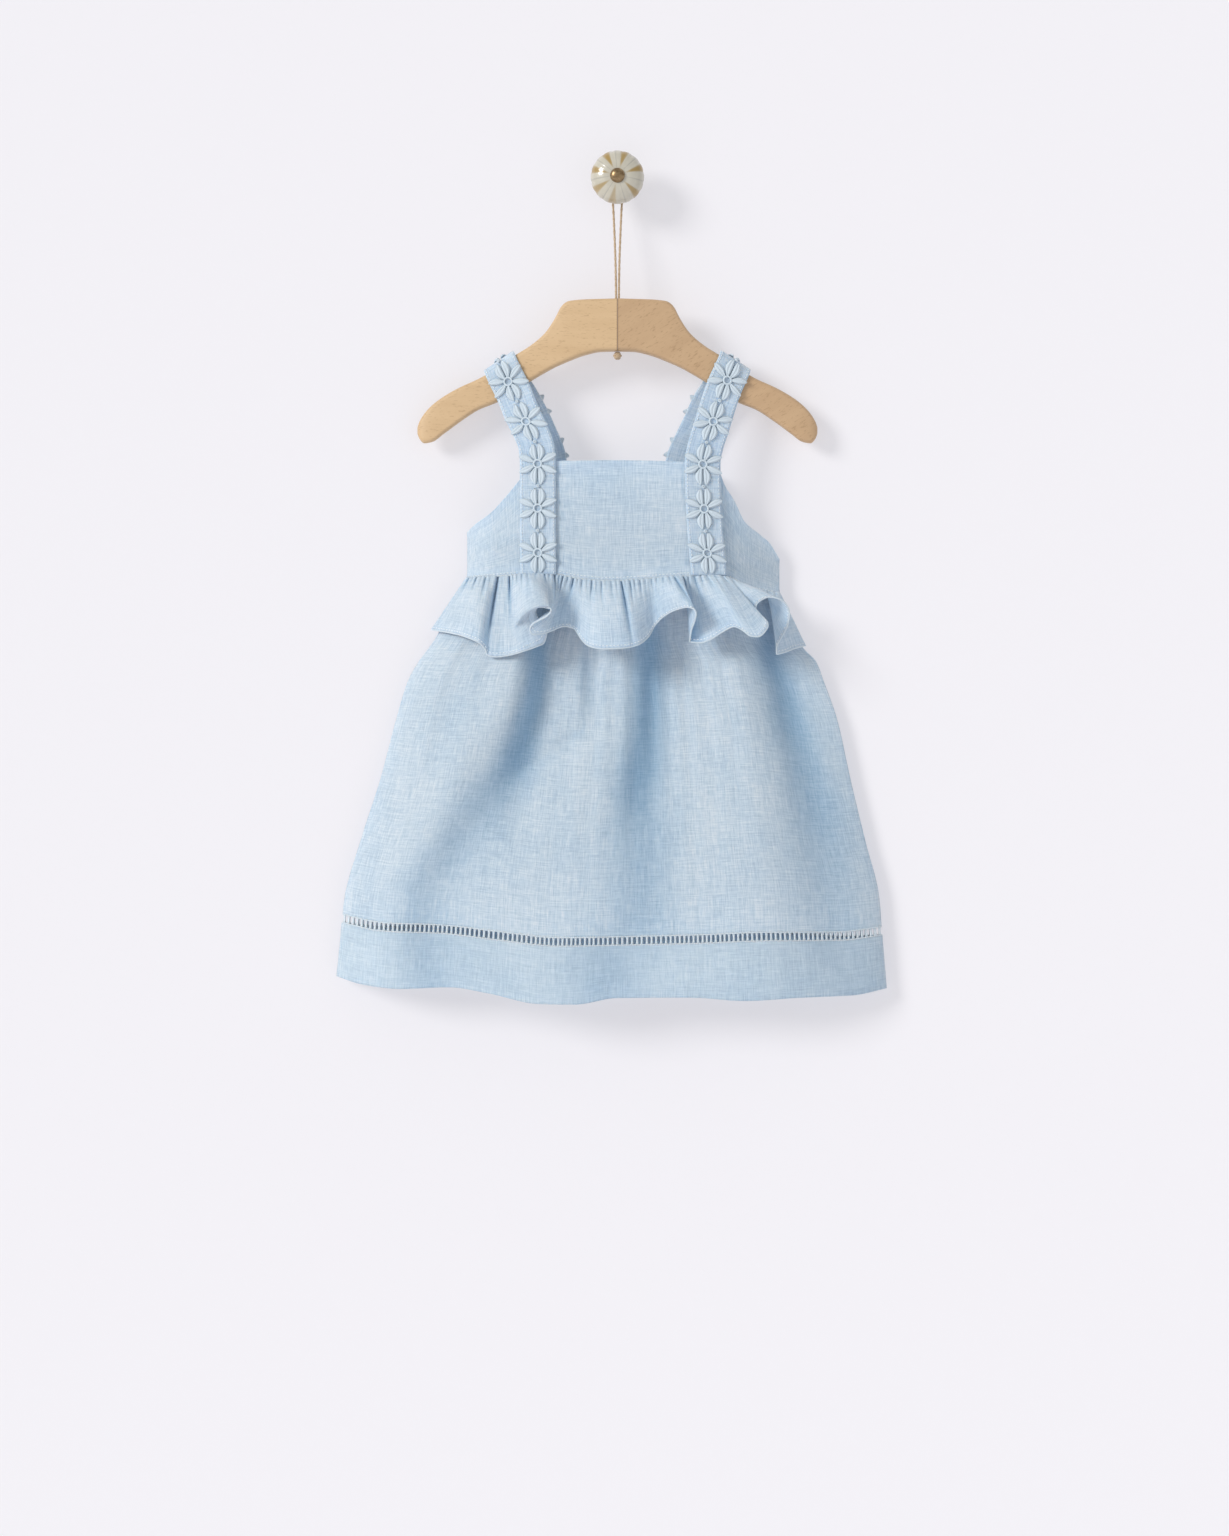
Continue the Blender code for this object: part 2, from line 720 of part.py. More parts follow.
def ruffle_front_surface(columns):
    """The front ruffle: threads from the waist seam to the hem, folded over in the left roll."""
    stations = along(RUFFLE_FRONT, "seam", columns)
    index = np.arange(len(RUFFLE_FRONT["seam"]))

    def surface(share, down):
        station = stations[int(round(share * columns))]
        seam, across, height, out = [
            smooth(index, RUFFLE_FRONT[c], station) for c in ("seam", "across", "height", "out")
        ]
        start = np.array(ruffle_start(seam))
        end = np.array([across, out, height])
        belly = read(RUFFLE_BELLY, "seam", seam, "belly")
        side = read(RUFFLE_BELLY, "seam", seam, "side")
        turn = read(RUFFLE_TURN, "seam", seam, "turn")
        if down < TURN_SHARE:
            down = down / TURN_SHARE * turn
        else:
            down = 1 - (1 - down) / (1 - TURN_SHARE) * (1 - turn)
        if ROLL["seam"][0] < seam < ROLL["seam"][-1]:
            bends = [read(ROLL, "seam", seam, c) for c in list(ROLL)[1:]]
            crest, under = np.array(bends[:3])[[0, 2, 1]], np.array(bends[3:])[[0, 2, 1]]
            knots = np.array([0.0, 0.5 * turn, turn, turn + 0.4 * (1 - turn), 1.0])
            lift = math.sin(math.pi * (seam - ROLL["seam"][0]) / (ROLL["seam"][-1] - ROLL["seam"][0]))
            rise = start + 0.5 * (crest - start) + np.array([0, belly + 3.0 * lift, LIP_LIFT * lift])
            stops = np.stack([start, rise, crest, under, end])
        else:
            knots = np.array([0.0, 0.35, 0.7, 1.0])
            middle = start + 0.35 * (end - start) + np.array([0.7 * side, belly, 0])
            lower = start + 0.7 * (end - start) + np.array([side, 0.8 * belly, 0])
            stops = np.stack([start, middle, lower, end])
        spot = [smooth(knots, stops[:, axis], down) for axis in range(3)]
        ripple = math.cos(2 * math.pi * seam / GATHER_PITCH)
        spot[1] += GATHER_DEPTH * (1 - down) ** 2 * (1 + ripple)
        return point(*spot)

    return surface


def ruffle_back_surface(share, down):
    """The back ruffle hangs nearly flat between the skirt and the wall, and turns in at its two ends."""
    along_seam = 0.5 - 0.5 * math.cos(math.pi * share)
    seam = 124.2 - along_seam * (124.2 + 115.2)
    held = float(np.clip(seam, WAIST["across"][0], WAIST["across"][-1]))
    top = read(WAIST, "across", held, "height") - SEAM_GAP / 2
    middle = math.sin(math.pi * along_seam)
    low = -349.0 + along_seam * 12.0 - 8.0 * middle - 2.5 * middle * math.cos(10 * math.pi * along_seam)
    across = 142.2 - along_seam * (142.2 + 140.8)
    turn = math.exp(-min(seam + 115.2, 124.2 - seam) / 1.0)
    seam_out = 6.2 + 3.0 * turn
    hem_out = 4.4 + 5.8 * turn + 1.0 * middle * math.sin(14 * math.pi * along_seam)
    out = seam_out + down * (hem_out - seam_out)
    return point(seam + down * (across - seam), out, top + down * (low - top))


def strap_frame(rows):
    """The strap's centre, cross direction and outward direction at any length, and its rows' lengths."""
    index = np.arange(len(rows["across"]), dtype=float)
    fine = np.linspace(0, index[-1], 1000)
    line = np.stack([smooth(index, rows[c], fine) for c in ("across", "out", "height")], axis=1)
    line[:, 1] *= -1
    tilts = np.radians(smooth(index, rows["tilt"], fine))
    yaws = np.radians(smooth(index, rows["yaw"], fine))
    lengths = np.concatenate([[0], np.cumsum(np.linalg.norm(np.diff(line, axis=0), axis=1))])

    def at(length):
        i = int(np.clip(np.searchsorted(lengths, length), 1, len(fine) - 1))
        share = (length - lengths[i - 1]) / (lengths[i] - lengths[i - 1])
        centre = line[i - 1] + share * (line[i] - line[i - 1])
        lo, hi = max(i - 12, 0), min(i + 12, len(fine) - 1)
        ahead = Vector(line[hi] - line[lo]).normalized()
        flat = math.cos(tilts[i])
        cross = Vector((flat, -flat * math.tan(yaws[i]), math.sin(tilts[i]))).normalized()
        outward = cross.cross(ahead).normalized()
        return Vector(centre), cross, outward

    return at, np.interp(index, fine, lengths)


def strap(name, rows, finish, collection):
    at, row_lengths = strap_frame(rows)
    count = 2 * (len(row_lengths) - 1)

    def surface(share, down):
        length = np.interp(down * count / 2, np.arange(len(row_lengths)), row_lengths)
        centre, cross, _ = at(length)
        return (centre + cross * STRAP_WIDTH * (share - 0.5)) * MM

    return cloth(name, surface, 2, count, finish, collection)


# Right half of a daisy's outline, from the knot above it to the knot below: petals and the notches between
DAISY_RIGHT = table(
    "across along",
    (1.3, 16.6),
    (1.9, 13.2),
    (5.4, 14.4),
    (5.2, 9.4),
    (3.3, 5.6),
    (10.4, 9.8),
    (13.2, 6.4),
    (6.4, 0.0),
    (13.2, -6.4),
    (10.4, -9.8),
    (3.3, -5.6),
    (5.2, -9.4),
    (5.4, -14.4),
    (1.9, -13.2),
    (1.3, -16.6),
)


def daisy_trim(name, rows, finish, collection):
    """A chain of daisies with open centres, lying on a strap, as one closed body."""
    at, row_lengths = strap_frame(rows)
    bend = row_lengths[int(np.argmax(rows["height"]))]
    half = list(zip(DAISY_RIGHT["across"], DAISY_RIGHT["along"]))
    outline = half + [(-across, ahead) for across, ahead in reversed(half)]
    count = len(outline)
    points = []
    faces = []

    def place(middle, across, ahead, rise):
        length = middle + ahead
        centre, cross, outward = at(length)
        under = CLOTH / 2 + GAP + TRIM_BEND_LIFT * math.exp(-(((length - bend) / TRIM_BEND_REACH) ** 2))
        return (centre + cross * across + outward * (under + rise)) * MM

    for daisy in range(DAISIES_A_STRAP):
        middle = DAISY_FIRST + daisy * DAISY_PITCH
        base = len(points)
        on_bend = abs(middle - bend) < DAISY_PITCH
        rings = 5 if on_bend else 4
        for across, ahead in outline:
            reach = math.hypot(across, ahead)
            inner = DAISY_CENTRE / reach
            ridge = min(0.6, 6.4 / reach)
            crown = DAISY_RISE if reach > 8 else DAISY_EDGE
            points.append(place(middle, inner * across, inner * ahead, 0.0))
            points.append(place(middle, ridge * across, ridge * ahead, crown))
            points.append(place(middle, across, ahead, DAISY_EDGE))
            points.append(place(middle, across, ahead, 0.0))
            if on_bend:
                points.append(place(middle, ridge * across, ridge * ahead, 0.0))
        for i in range(count):
            here, there = base + rings * i, base + rings * ((i + 1) % count)
            knot_above = i == count - 1 and daisy < DAISIES_A_STRAP - 1
            knot_below = i == count // 2 - 1 and daisy > 0
            for ring in range(rings):
                after = (ring + 1) % rings
                if ring == 2 and (knot_above or knot_below):
                    continue
                faces.append((here + ring, there + ring, there + after, here + after))
    mesh = mesh_from(name, points, faces)
    return add_object(name, mesh, finish, collection)


def build():
    for old in list(bpy.data.objects):
        bpy.data.objects.remove(old, do_unlink=True)
    dress = bpy.data.collections.new("linen_pinafore_dress")
    cutters = bpy.data.collections.new("cutters")
    for collection in (dress, cutters):
        bpy.context.scene.collection.children.link(collection)

    linen = material("pale_blue_linen", (0.50, 0.63, 0.74), 0.9)
    trim_thread = material("pale_blue_trim_thread", (0.56, 0.69, 0.79), 0.8)
    beech = material("beech_wood", (0.66, 0.47, 0.27), 0.55)
    jute = material("jute_twine", (0.58, 0.44, 0.27), 0.9)
    ceramic = material("glazed_ceramic", (0.72, 0.70, 0.62), 0.2)
    brass = material("aged_brass", (0.35, 0.25, 0.13), 0.4, 1.0)

    cutter = twine_hole_cutter(cutters)
    hanger_arm(-1, beech, dress, cutter)
    hanger_arm(1, beech, dress, cutter)
    knob_head(ceramic, dress)
    turned(
        "wall_plate",
        [(0, 0), (0, 11.5), (1.6, 11.5), (3.0, 9.0), (3.6, NECK_RADIUS), (16.0, NECK_RADIUS), (16.0, 0)],
        24, brass, dress,
    )
    turned("knob_screw", [(40.5, 0), (40.5, 5.4), (41.6, 5.0), (43.0, 3.2), (43.6, 0)], 24, brass, dress)
    twine(jute, dress)
    twine_knot(jute, dress)

    cloth("bodice_front", bodice_front, PANEL_COLUMNS, 5, linen, dress)
    cloth("bodice_back", bodice_back, BACK_COLUMNS, 4, linen, dress)
    panels = (("front", skirt_front, PANEL_COLUMNS, 10), ("back", skirt_back, BACK_COLUMNS, 7))
    for side, panel, columns, rows in panels:
        cloth("skirt_" + side, panel_band(panel, "skirt"), columns, rows, linen, dress)
        cloth("ladder_" + side, panel_band(panel, "ladder"), columns, 1, linen, dress)
        cloth("hem_" + side, panel_band(panel, "hem"), columns, 2, linen, dress, HEM_CLOTH)
    cloth("ruffle_front", ruffle_front_surface(RUFFLE_COLUMNS), RUFFLE_COLUMNS, RUFFLE_ROWS, linen, dress)
    cloth("ruffle_back", ruffle_back_surface, 28, 3, linen, dress)
    for side, rows in (("left", STRAP_LEFT), ("right", STRAP_RIGHT)):
        strap("strap_" + side, rows, linen, dress)
        daisy_trim("trim_" + side, rows, trim_thread, dress)


build()
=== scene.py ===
"""A baby's linen pinafore dress on a beech hanger, hung by twine from a painted wall knob.

Sizes are real, in millimetres: across runs to the viewer's right, out from the wall to the viewer, and
height upwards from the knob's centre. Sections follow the order in which the thing is put together.
"""

import math

import bmesh
import bpy
import numpy as np
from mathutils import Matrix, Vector, noise


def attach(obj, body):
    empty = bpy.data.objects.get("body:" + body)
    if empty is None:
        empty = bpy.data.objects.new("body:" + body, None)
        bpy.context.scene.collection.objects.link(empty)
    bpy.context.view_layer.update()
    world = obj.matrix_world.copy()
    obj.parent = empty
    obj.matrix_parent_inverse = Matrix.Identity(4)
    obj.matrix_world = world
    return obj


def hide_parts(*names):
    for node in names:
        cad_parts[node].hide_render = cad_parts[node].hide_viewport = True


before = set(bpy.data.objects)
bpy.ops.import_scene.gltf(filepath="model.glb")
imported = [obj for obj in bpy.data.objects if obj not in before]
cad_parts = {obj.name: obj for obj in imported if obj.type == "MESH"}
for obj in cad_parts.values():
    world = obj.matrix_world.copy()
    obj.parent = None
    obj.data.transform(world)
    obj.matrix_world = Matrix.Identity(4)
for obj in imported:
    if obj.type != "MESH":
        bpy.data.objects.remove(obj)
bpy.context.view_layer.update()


# THE WALL, THE CAMERA AND THE LIGHT
# A plain pale wall carries the knob. Broad soft light comes from the upper left, and pale air fills the
# shadows. The camera stands level with the middle of the dress, three metres away.
MM = 0.001
CAMERA_AT = (-2.2, 3040.0, -441.0)
CAMERA_LENS = 94.5
WALL_SIZE = 9000.0
WALL_OUT = -0.5
FLOOR_HEIGHT = -1700.0
WALL_COLOUR = (0.44, 0.433, 0.45)
WALL_GLOW = (0.438, 0.433, 0.452)


def point(across, out, height):
    return Vector((across, -out, height)) * MM


def placed(name, data):
    """A new object of the scene."""
    made = bpy.data.objects.new(name, data)
    bpy.context.scene.collection.objects.link(made)
    return made


camera_data = bpy.data.cameras.new("portrait_camera")
camera_data.sensor_fit = "VERTICAL"
camera_data.sensor_height = 36.0
camera_data.lens = CAMERA_LENS
camera = placed("portrait_camera", camera_data)
camera.location = point(*CAMERA_AT)
camera.rotation_euler = (math.radians(90), 0, 0)
bpy.context.scene.camera = camera
bpy.context.scene.view_settings.view_transform = "Standard"


def feed(tree, node, inputs):
    """Sets a node's inputs, each from a number, a colour or another node's socket."""
    for name, value in inputs.items():
        if isinstance(value, bpy.types.NodeSocket):
            tree.links.new(value, node.inputs[name])
        else:
            node.inputs[name].default_value = value


def add_node(tree, kind, inputs=None, **settings):
    """A new shader node with its settings and inputs."""
    node = tree.nodes.new("ShaderNode" + kind)
    for name, value in settings.items():
        setattr(node, name, value)
    feed(tree, node, inputs or {})
    return node


def finish_named(name, colour, roughness, more=None):
    """A new material, its node tree and its Principled shader, ready for its own nodes."""
    finish = bpy.data.materials.new(name)
    finish.use_nodes = True
    shader = finish.node_tree.nodes["Principled BSDF"]
    feed(finish.node_tree, shader, {"Base Color": (*colour, 1), "Roughness": roughness, **(more or {})})
    return finish, finish.node_tree, shader


def backdrop(name, corners):
    """A plain sheet of wall or floor, which can't be seen from behind."""
    sheet = bmesh.new()
    sheet.faces.new([sheet.verts.new(point(*corner)) for corner in corners])
    mesh = bpy.data.meshes.new(name)
    sheet.to_mesh(mesh)
    sheet.free()
    made = placed(name, mesh)
    made.data.materials.append(wall_paint)


wall_paint, paint_tree, paint_shader = finish_named(
    "matt_wall_paint", WALL_COLOUR, 0.95, {"Emission Color": (*WALL_GLOW, 1), "Emission Strength": 1.0},
)
front_only = add_node(paint_tree, "MixShader", {
    "Fac": add_node(paint_tree, "NewGeometry").outputs["Backfacing"],
    1: paint_shader.outputs["BSDF"],
    2: add_node(paint_tree, "BsdfTransparent").outputs["BSDF"],
})
feed(paint_tree, paint_tree.nodes["Material Output"], {"Surface": front_only.outputs["Shader"]})

half = WALL_SIZE / 2
backdrop("wall", [(across, WALL_OUT, height) for across, height in (
    (-half, -half), (half, -half), (half, half), (-half, half),
)])
backdrop("floor", [(across, out, FLOOR_HEIGHT) for across, out in (
    (-half, WALL_OUT), (-half, WALL_SIZE), (half, WALL_SIZE), (half, WALL_OUT),
)])

air = bpy.data.worlds.new("pale_room")
air.use_nodes = True
feed(air.node_tree, air.node_tree.nodes["Background"], {"Color": (0.965, 0.972, 0.99, 1), "Strength": 0.53})
bpy.context.scene.world = air


def soft_sun(name, towards, strength, spread, colour):
    """A far broad lamp, so that the wall is lit evenly, shining towards (across, out, height)."""
    lamp = bpy.data.lights.new(name, "SUN")
    lamp.energy = strength
    lamp.angle = math.radians(spread)
    lamp.color = colour
    made = placed(name, lamp)
    made.rotation_euler = point(*towards).to_track_quat("-Z", "Y").to_euler()


soft_sun("key_light", (0.86, -0.74, -0.41), 1.86, 20, (1.0, 0.985, 0.96))
soft_sun("fill_light", (-0.6, -1.0, 0.1), 0.22, 60, (0.94, 0.97, 1.0))


# THE TWINE LOOP
# Two legs of rough two-ply jute run from a knot under the hanger, up through its hole and round the
# neck of the knob. The plies turn round each other once every 5 mm.
TWINE_WIDTH = 1.8
TWINE_PLY_TURN = 5.2


def table(columns, *rows):
    """Named columns of a short table, as arrays."""
    return {name: np.array([row[i] for row in rows], float) for i, name in enumerate(columns.split())}


def smooth(places, values, place):
    """Value of the smooth curve through the points at each place, without overshoot."""
    rise = np.diff(values) / np.diff(places)
    slope = np.empty_like(values)
    slope[0], slope[-1] = rise[0], rise[-1]
    for i in range(1, len(values) - 1):
        before, after = rise[i - 1], rise[i]
        slope[i] = 0.0 if before * after <= 0 else 2 * before * after / (before + after)
    i = np.clip(np.searchsorted(places, place) - 1, 0, len(places) - 2)
    step = places[i + 1] - places[i]
    t = np.clip((place - places[i]) / step, 0.0, 1.0)
    start = (1 + 2 * t) * (1 - t) ** 2 * values[i] + t * (1 - t) ** 2 * step * slope[i]
    return start + t * t * (3 - 2 * t) * values[i + 1] + t * t * (t - 1) * step * slope[i + 1]


def read(rows, key, place, column):
    """One column of a table, read smoothly at places given by its key column."""
    order = 1 if rows[key][0] < rows[key][-1] else -1
    return smooth(rows[key][::order], rows[column][::order], place)


TWINE_LEG = table(
    "across out height",
    (1.05, 30, -129.8), (1.05, 30, -118), (1.05, 30, -104), (1.05, 30, -92), (1.15, 28.2, -80),
    (1.5, 25.2, -62), (2.2, 21, -42), (3.2, 15.8, -20), (4.4, 11.8, -4), (4.1, 10.3, 1.6), (2.6, 10, 3.8),
    (0, 10, 4.6),
)


def shaped_grid(spots, around=False, capped=False, painted_shades=None):
    """A bmesh grid with its corners put at the spots, an array of columns by rows by (across, out, height).

    Its UV map holds the place on the grid, from 0 to 1 both ways. A grid that goes around is closed
    along its columns' side, and capped at both ends if asked. Painted shade for folds and creases, if
    given, goes to an attribute.
    """
    columns, rows = spots.shape[0] - 1, spots.shape[1] - 1
    shape = bmesh.new()
    bmesh.ops.create_grid(shape, x_segments=columns, y_segments=rows, size=0.5, calc_uvs=False)
    uv = shape.loops.layers.uv.new("UVMap")
    for face in shape.faces:
        for corner in face.loops:
            corner[uv].uv = (corner.vert.co.x + 0.5, corner.vert.co.y + 0.5)
    painted_shade = shape.verts.layers.float.new("painted_shade") if painted_shades is not None else None
    for vert in shape.verts:
        column = int(round((vert.co.x + 0.5) * columns))
        row = int(round((vert.co.y + 0.5) * rows))
        vert.co = point(*spots[column, row])
        if painted_shade is not None:
            vert[painted_shade] = float(painted_shades[column, row])
    if around:
        bmesh.ops.remove_doubles(shape, verts=shape.verts, dist=1e-7)
        if capped:
            bmesh.ops.holes_fill(shape, edges=[e for e in shape.edges if e.is_boundary], sides=0)
        bmesh.ops.recalc_face_normals(shape, faces=shape.faces)
    return shape


def piece(name, shape, finish, body="root"):
    """A finished piece from its bmesh, shaded smooth, riding on the frame."""
    mesh = bpy.data.meshes.new(name)
    shape.to_mesh(mesh)
    shape.free()
    mesh.shade_smooth()
    mesh.materials.append(finish)
    made = placed(name, mesh)
    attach(made, body)
    return made


def travelled_along(route):
    """Distance travelled along a route at each of its points."""
    return np.concatenate([[0], np.cumsum(np.linalg.norm(np.diff(route, axis=0), axis=1))])


def line_frames(route, away=(0, 1, 0)):
    """Side and up of a route at each of its points, for routes that never run straight along away."""
    ahead = np.gradient(route, axis=0)
    ahead /= np.linalg.norm(ahead, axis=1)[:, None]
    side = np.cross(ahead, away)
    side /= np.linalg.norm(side, axis=1)[:, None]
    return side, np.cross(side, ahead)


def round_spots(route, side, up, reach, sides):
    """Corners of a round section at each point of a route. Reach may differ by point and by angle."""
    angles = 2 * math.pi * np.arange(sides + 1) / sides
    aside = (reach * np.cos(angles))[..., None] * side[..., None, :]
    return route[:, None] + aside + (reach * np.sin(angles))[..., None] * up[..., None, :]


def rope_spots(route, radius, ply_turn, sides=12, lobe=0.22):
    """Corners of a two-ply rope that follows a route of (across, out, height) points."""
    angles = 2 * math.pi * np.arange(sides + 1) / sides
    plies = np.cos(2 * (angles - math.pi * travelled_along(route)[:, None] / ply_turn))
    return round_spots(route, *line_frames(route), radius * (1 - lobe / 2 + lobe / 2 * plies), sides)


def smooth_line(columns, places):
    """The smooth line through points given by their columns, at places counted in points."""
    counts = np.arange(float(len(columns[0])))
    return np.stack([smooth(counts, column, places) for column in columns], 1)


def add_noise(tree, place, scale, detail, roughness=0.5, **settings):
    inputs = {"Vector": place, "Scale": scale, "Detail": detail, "Roughness": roughness}
    return add_node(tree, "TexNoise", inputs, **settings).outputs["Fac"]


def on_object(tree):
    """The place on the object itself, in metres."""
    return add_node(tree, "TexCoord").outputs["Object"]


def add_ramp(tree, source, first, last, between=()):
    """A colour ramp from its first to its last (position, colour), with any stops between."""
    ramp = add_node(tree, "ValToRGB", {"Fac": source})
    for i, (position, colour) in enumerate((first, last)):
        ramp.color_ramp.elements[i].position = position
        ramp.color_ramp.elements[i].color = (*colour, 1)
    for position, colour in between:
        ramp.color_ramp.elements.new(position).color = (*colour, 1)
    return ramp.outputs["Color"]


def add_relief(tree, shader, height, strength, distance):
    """Fine relief on a shader, from a socket that gives its height."""
    relief = add_node(tree, "Bump", {"Height": height, "Strength": strength, "Distance": distance})
    feed(tree, shader, {"Normal": relief.outputs["Normal"]})


leg = smooth_line(list(TWINE_LEG.values()), np.linspace(0, len(TWINE_LEG["across"]) - 1, 25))
twine_route = np.concatenate([leg, (leg * (-1, 1, 1))[-2::-1]])
fine_route = smooth_line(twine_route.T, np.linspace(0, len(twine_route) - 1, 420))

jute, jute_tree, jute_shader = finish_named("jute_twine", (0.55, 0.40, 0.25), 0.95, {"Sheen Weight": 0.2})
fibre = add_noise(jute_tree, on_object(jute_tree), 1400, 3)
jute_tone = add_ramp(jute_tree, fibre, (0.32, (0.34, 0.22, 0.12)), (0.68, (0.66, 0.52, 0.36)))
feed(jute_tree, jute_shader, {"Base Color": jute_tone})
add_relief(jute_tree, jute_shader, fibre, 0.5, 0.0003)

twine = piece(
    "twine_loop_plies", shaped_grid(rope_spots(fine_route, TWINE_WIDTH / 2, TWINE_PLY_TURN), True, True), jute
)
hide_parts("twine_loop")


# THE TWINE'S KNOT
# An overhand knot of the same jute under the hanger. Its turns lie round each other and stop the twine
# from slipping back up through the hole.
KNOT_WIDE = 3.036
KNOT_DEEP = 2.97
KNOT_OUT = 30.0
KNOT_HEIGHT = -133.3
KNOT_LOBE = 0.10

knot_shape = bmesh.new()
bmesh.ops.create_uvsphere(knot_shape, u_segments=40, v_segments=24, radius=1.0)
for vert in knot_shape.verts:
    turn = math.atan2(vert.co.y, vert.co.x)
    swell = 1 + KNOT_LOBE * math.cos(2 * turn + 7.0 * vert.co.z) * (1 - vert.co.z ** 2) ** 0.5
    vert.co = point(
        KNOT_WIDE * swell * vert.co.x,
        KNOT_OUT + KNOT_DEEP * swell * vert.co.y,
        KNOT_HEIGHT + KNOT_DEEP * swell * vert.co.z,
    )
bmesh.ops.recalc_face_normals(knot_shape, faces=knot_shape.faces)
knot = piece("twine_knot_turns", knot_shape, jute)
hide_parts("twine_knot")


# THE WALL KNOB
# A turned stoneware head with painted ochre stripes under a clear glaze, on a brass neck and wall plate.
# A domed brass screw holds it from the front.
KNOB_RADIUS = 20.0
KNOB_LOBES = 16
KNOB_FLUTE = 0.35
KNOB_STEPS = 192
STRIPES_AT = (20, 73, 118, 164, 211, 258, 318)
STRIPES_STRONG = (1.0, 0.95, 1.0, 0.95, 0.8, 0.55, 0.9)
FINE_LINES_AT = (45, 95, 140, 187, 236, 288, 350)
PAINT_FRONT = 22.0
SCREW_RADIUS = 5.5
SCREW_FOOT = 39.6
SCREW_RIM = 40.4
SCREW_DOME = 3.2
KNOB_HEAD = table(
    "out radius",
    (16.3, 5), (17, 9.5), (19.2, 14.2), (22.6, 17.6), (26.6, 19.6), (30.6, 20), (34.6, 18.4), (37.8, 14.6),
    (39.8, 9.6), (40.2, 5.6),
)


def turn_between(first, second):
    """Degrees from one direction to another, the short way round."""
    return abs((first - second + 180) % 360 - 180)


def turned_spots(outs, radii, steps):
    """Corners of a shape turned on the knob's axis."""
    axis = np.stack([0 * outs, outs, 0 * outs], 1)
    return round_spots(axis, np.array([1.0, 0.0, 0.0]), np.array([0.0, 0.0, 1.0]), radii[:, None], steps)


knob_outs, knob_radii = smooth_line(list(KNOB_HEAD.values()), np.linspace(0, len(KNOB_HEAD["out"]) - 1, 46)).T
knob_spots = turned_spots(knob_outs, knob_radii, KNOB_STEPS)
for k in range(KNOB_STEPS + 1):
    groove = (0.5 - 0.5 * math.cos(2 * math.pi * k * KNOB_LOBES / KNOB_STEPS)) ** 3
    knob_spots[:, k, ::2] *= 1 - (KNOB_FLUTE * groove / KNOB_RADIUS)
knob_shape = shaped_grid(knob_spots, True, True)

stripe_layer = knob_shape.verts.layers.float.new("stripe")
line_layer = knob_shape.verts.layers.float.new("fine_line")
for vert in knob_shape.verts:
    reach = math.hypot(vert.co.x, vert.co.z) / (KNOB_RADIUS * MM)
    front = -vert.co.y > PAINT_FRONT * MM
    facing = math.degrees(math.atan2(vert.co.z, vert.co.x)) % 360
    for at, strong in zip(STRIPES_AT, STRIPES_STRONG):
        wide = 3.0 + 8.0 * min(1.0, max(0.0, reach - 0.25) / 0.75)
        paint = strong * max(0.0, 1 - (turn_between(facing, at) / wide) ** 4)
        paint *= min(1.0, max(0.0, (reach - 0.28) / 0.26))
        vert[stripe_layer] = max(vert[stripe_layer], paint if front else 0.5 * paint)
    for at in FINE_LINES_AT:
        paint = max(0.0, 1 - turn_between(facing, at) / 1.9) * (0.9 if reach > 0.3 else 0.0)
        vert[line_layer] = max(vert[line_layer], paint)


def add_mix(tree, share, first, second, blend="MIX"):
    """A second colour laid over a first by a share. Each is three numbers or a socket."""
    first, second = [(*colour, 1) if isinstance(colour, tuple) else colour for colour in (first, second)]
    mixed = add_node(tree, "MixRGB", {"Fac": share, "Color1": first, "Color2": second}, blend_type=blend)
    return mixed.outputs["Color"]


def marked(tree, name):
    """A number that the mesh holds at each of its corners."""
    return add_node(tree, "Attribute", attribute_name=name).outputs["Fac"]


ceramic, ceramic_tree, ceramic_shader = finish_named(
    "glazed_stoneware", (0.62, 0.60, 0.53), 0.28, {"Coat Weight": 0.8, "Coat Roughness": 0.08},
)
glaze_cloud = add_noise(ceramic_tree, on_object(ceramic_tree), 130, 3)
clay_tone = add_mix(ceramic_tree, glaze_cloud, (0.61, 0.575, 0.475), (0.50, 0.475, 0.39))
striped = add_mix(ceramic_tree, marked(ceramic_tree, "stripe"), clay_tone, (0.37, 0.245, 0.075))
lined = add_mix(ceramic_tree, marked(ceramic_tree, "fine_line"), striped, (0.36, 0.35, 0.31))
feed(ceramic_tree, ceramic_shader, {"Base Color": lined})

knob = piece("knob_head_painted", knob_shape, ceramic)
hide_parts("wall_knob")

brass, brass_tree, brass_shader = finish_named("aged_brass", (0.34, 0.24, 0.13), 0.34, {"Metallic": 1.0})
tarnish = add_noise(brass_tree, on_object(brass_tree), 420, 4)
brass_tone = add_ramp(brass_tree, tarnish, (0.35, (0.22, 0.145, 0.075)), (0.7, (0.44, 0.32, 0.18)))
feed(brass_tree, brass_shader, {"Base Color": brass_tone})

dome_angles = np.linspace(0, math.pi / 2, 14)
dome_outs = np.concatenate([[SCREW_FOOT], SCREW_RIM + SCREW_DOME * np.sin(dome_angles)])
dome_radii = np.concatenate([[SCREW_RADIUS], np.maximum(SCREW_RADIUS * np.cos(dome_angles), 0.02)])
dome = piece("knob_screw_dome", shaped_grid(turned_spots(dome_outs, dome_radii, 48), True, True), brass)
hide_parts("knob_screw")

PLATE_PROFILE = table(
    "out radius",
    (0, 11.2), (0.25, 11.5), (1.4, 11.5), (1.9, 11.1), (3, 9), (3.5, 4.4), (4.4, 3.2), (5.5, 3), (16.4, 3),
)
plate = piece(
    "knob_plate_turned",
    shaped_grid(turned_spots(PLATE_PROFILE["out"], PLATE_PROFILE["radius"], 64), True, True), brass,
)
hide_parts("wall_plate")


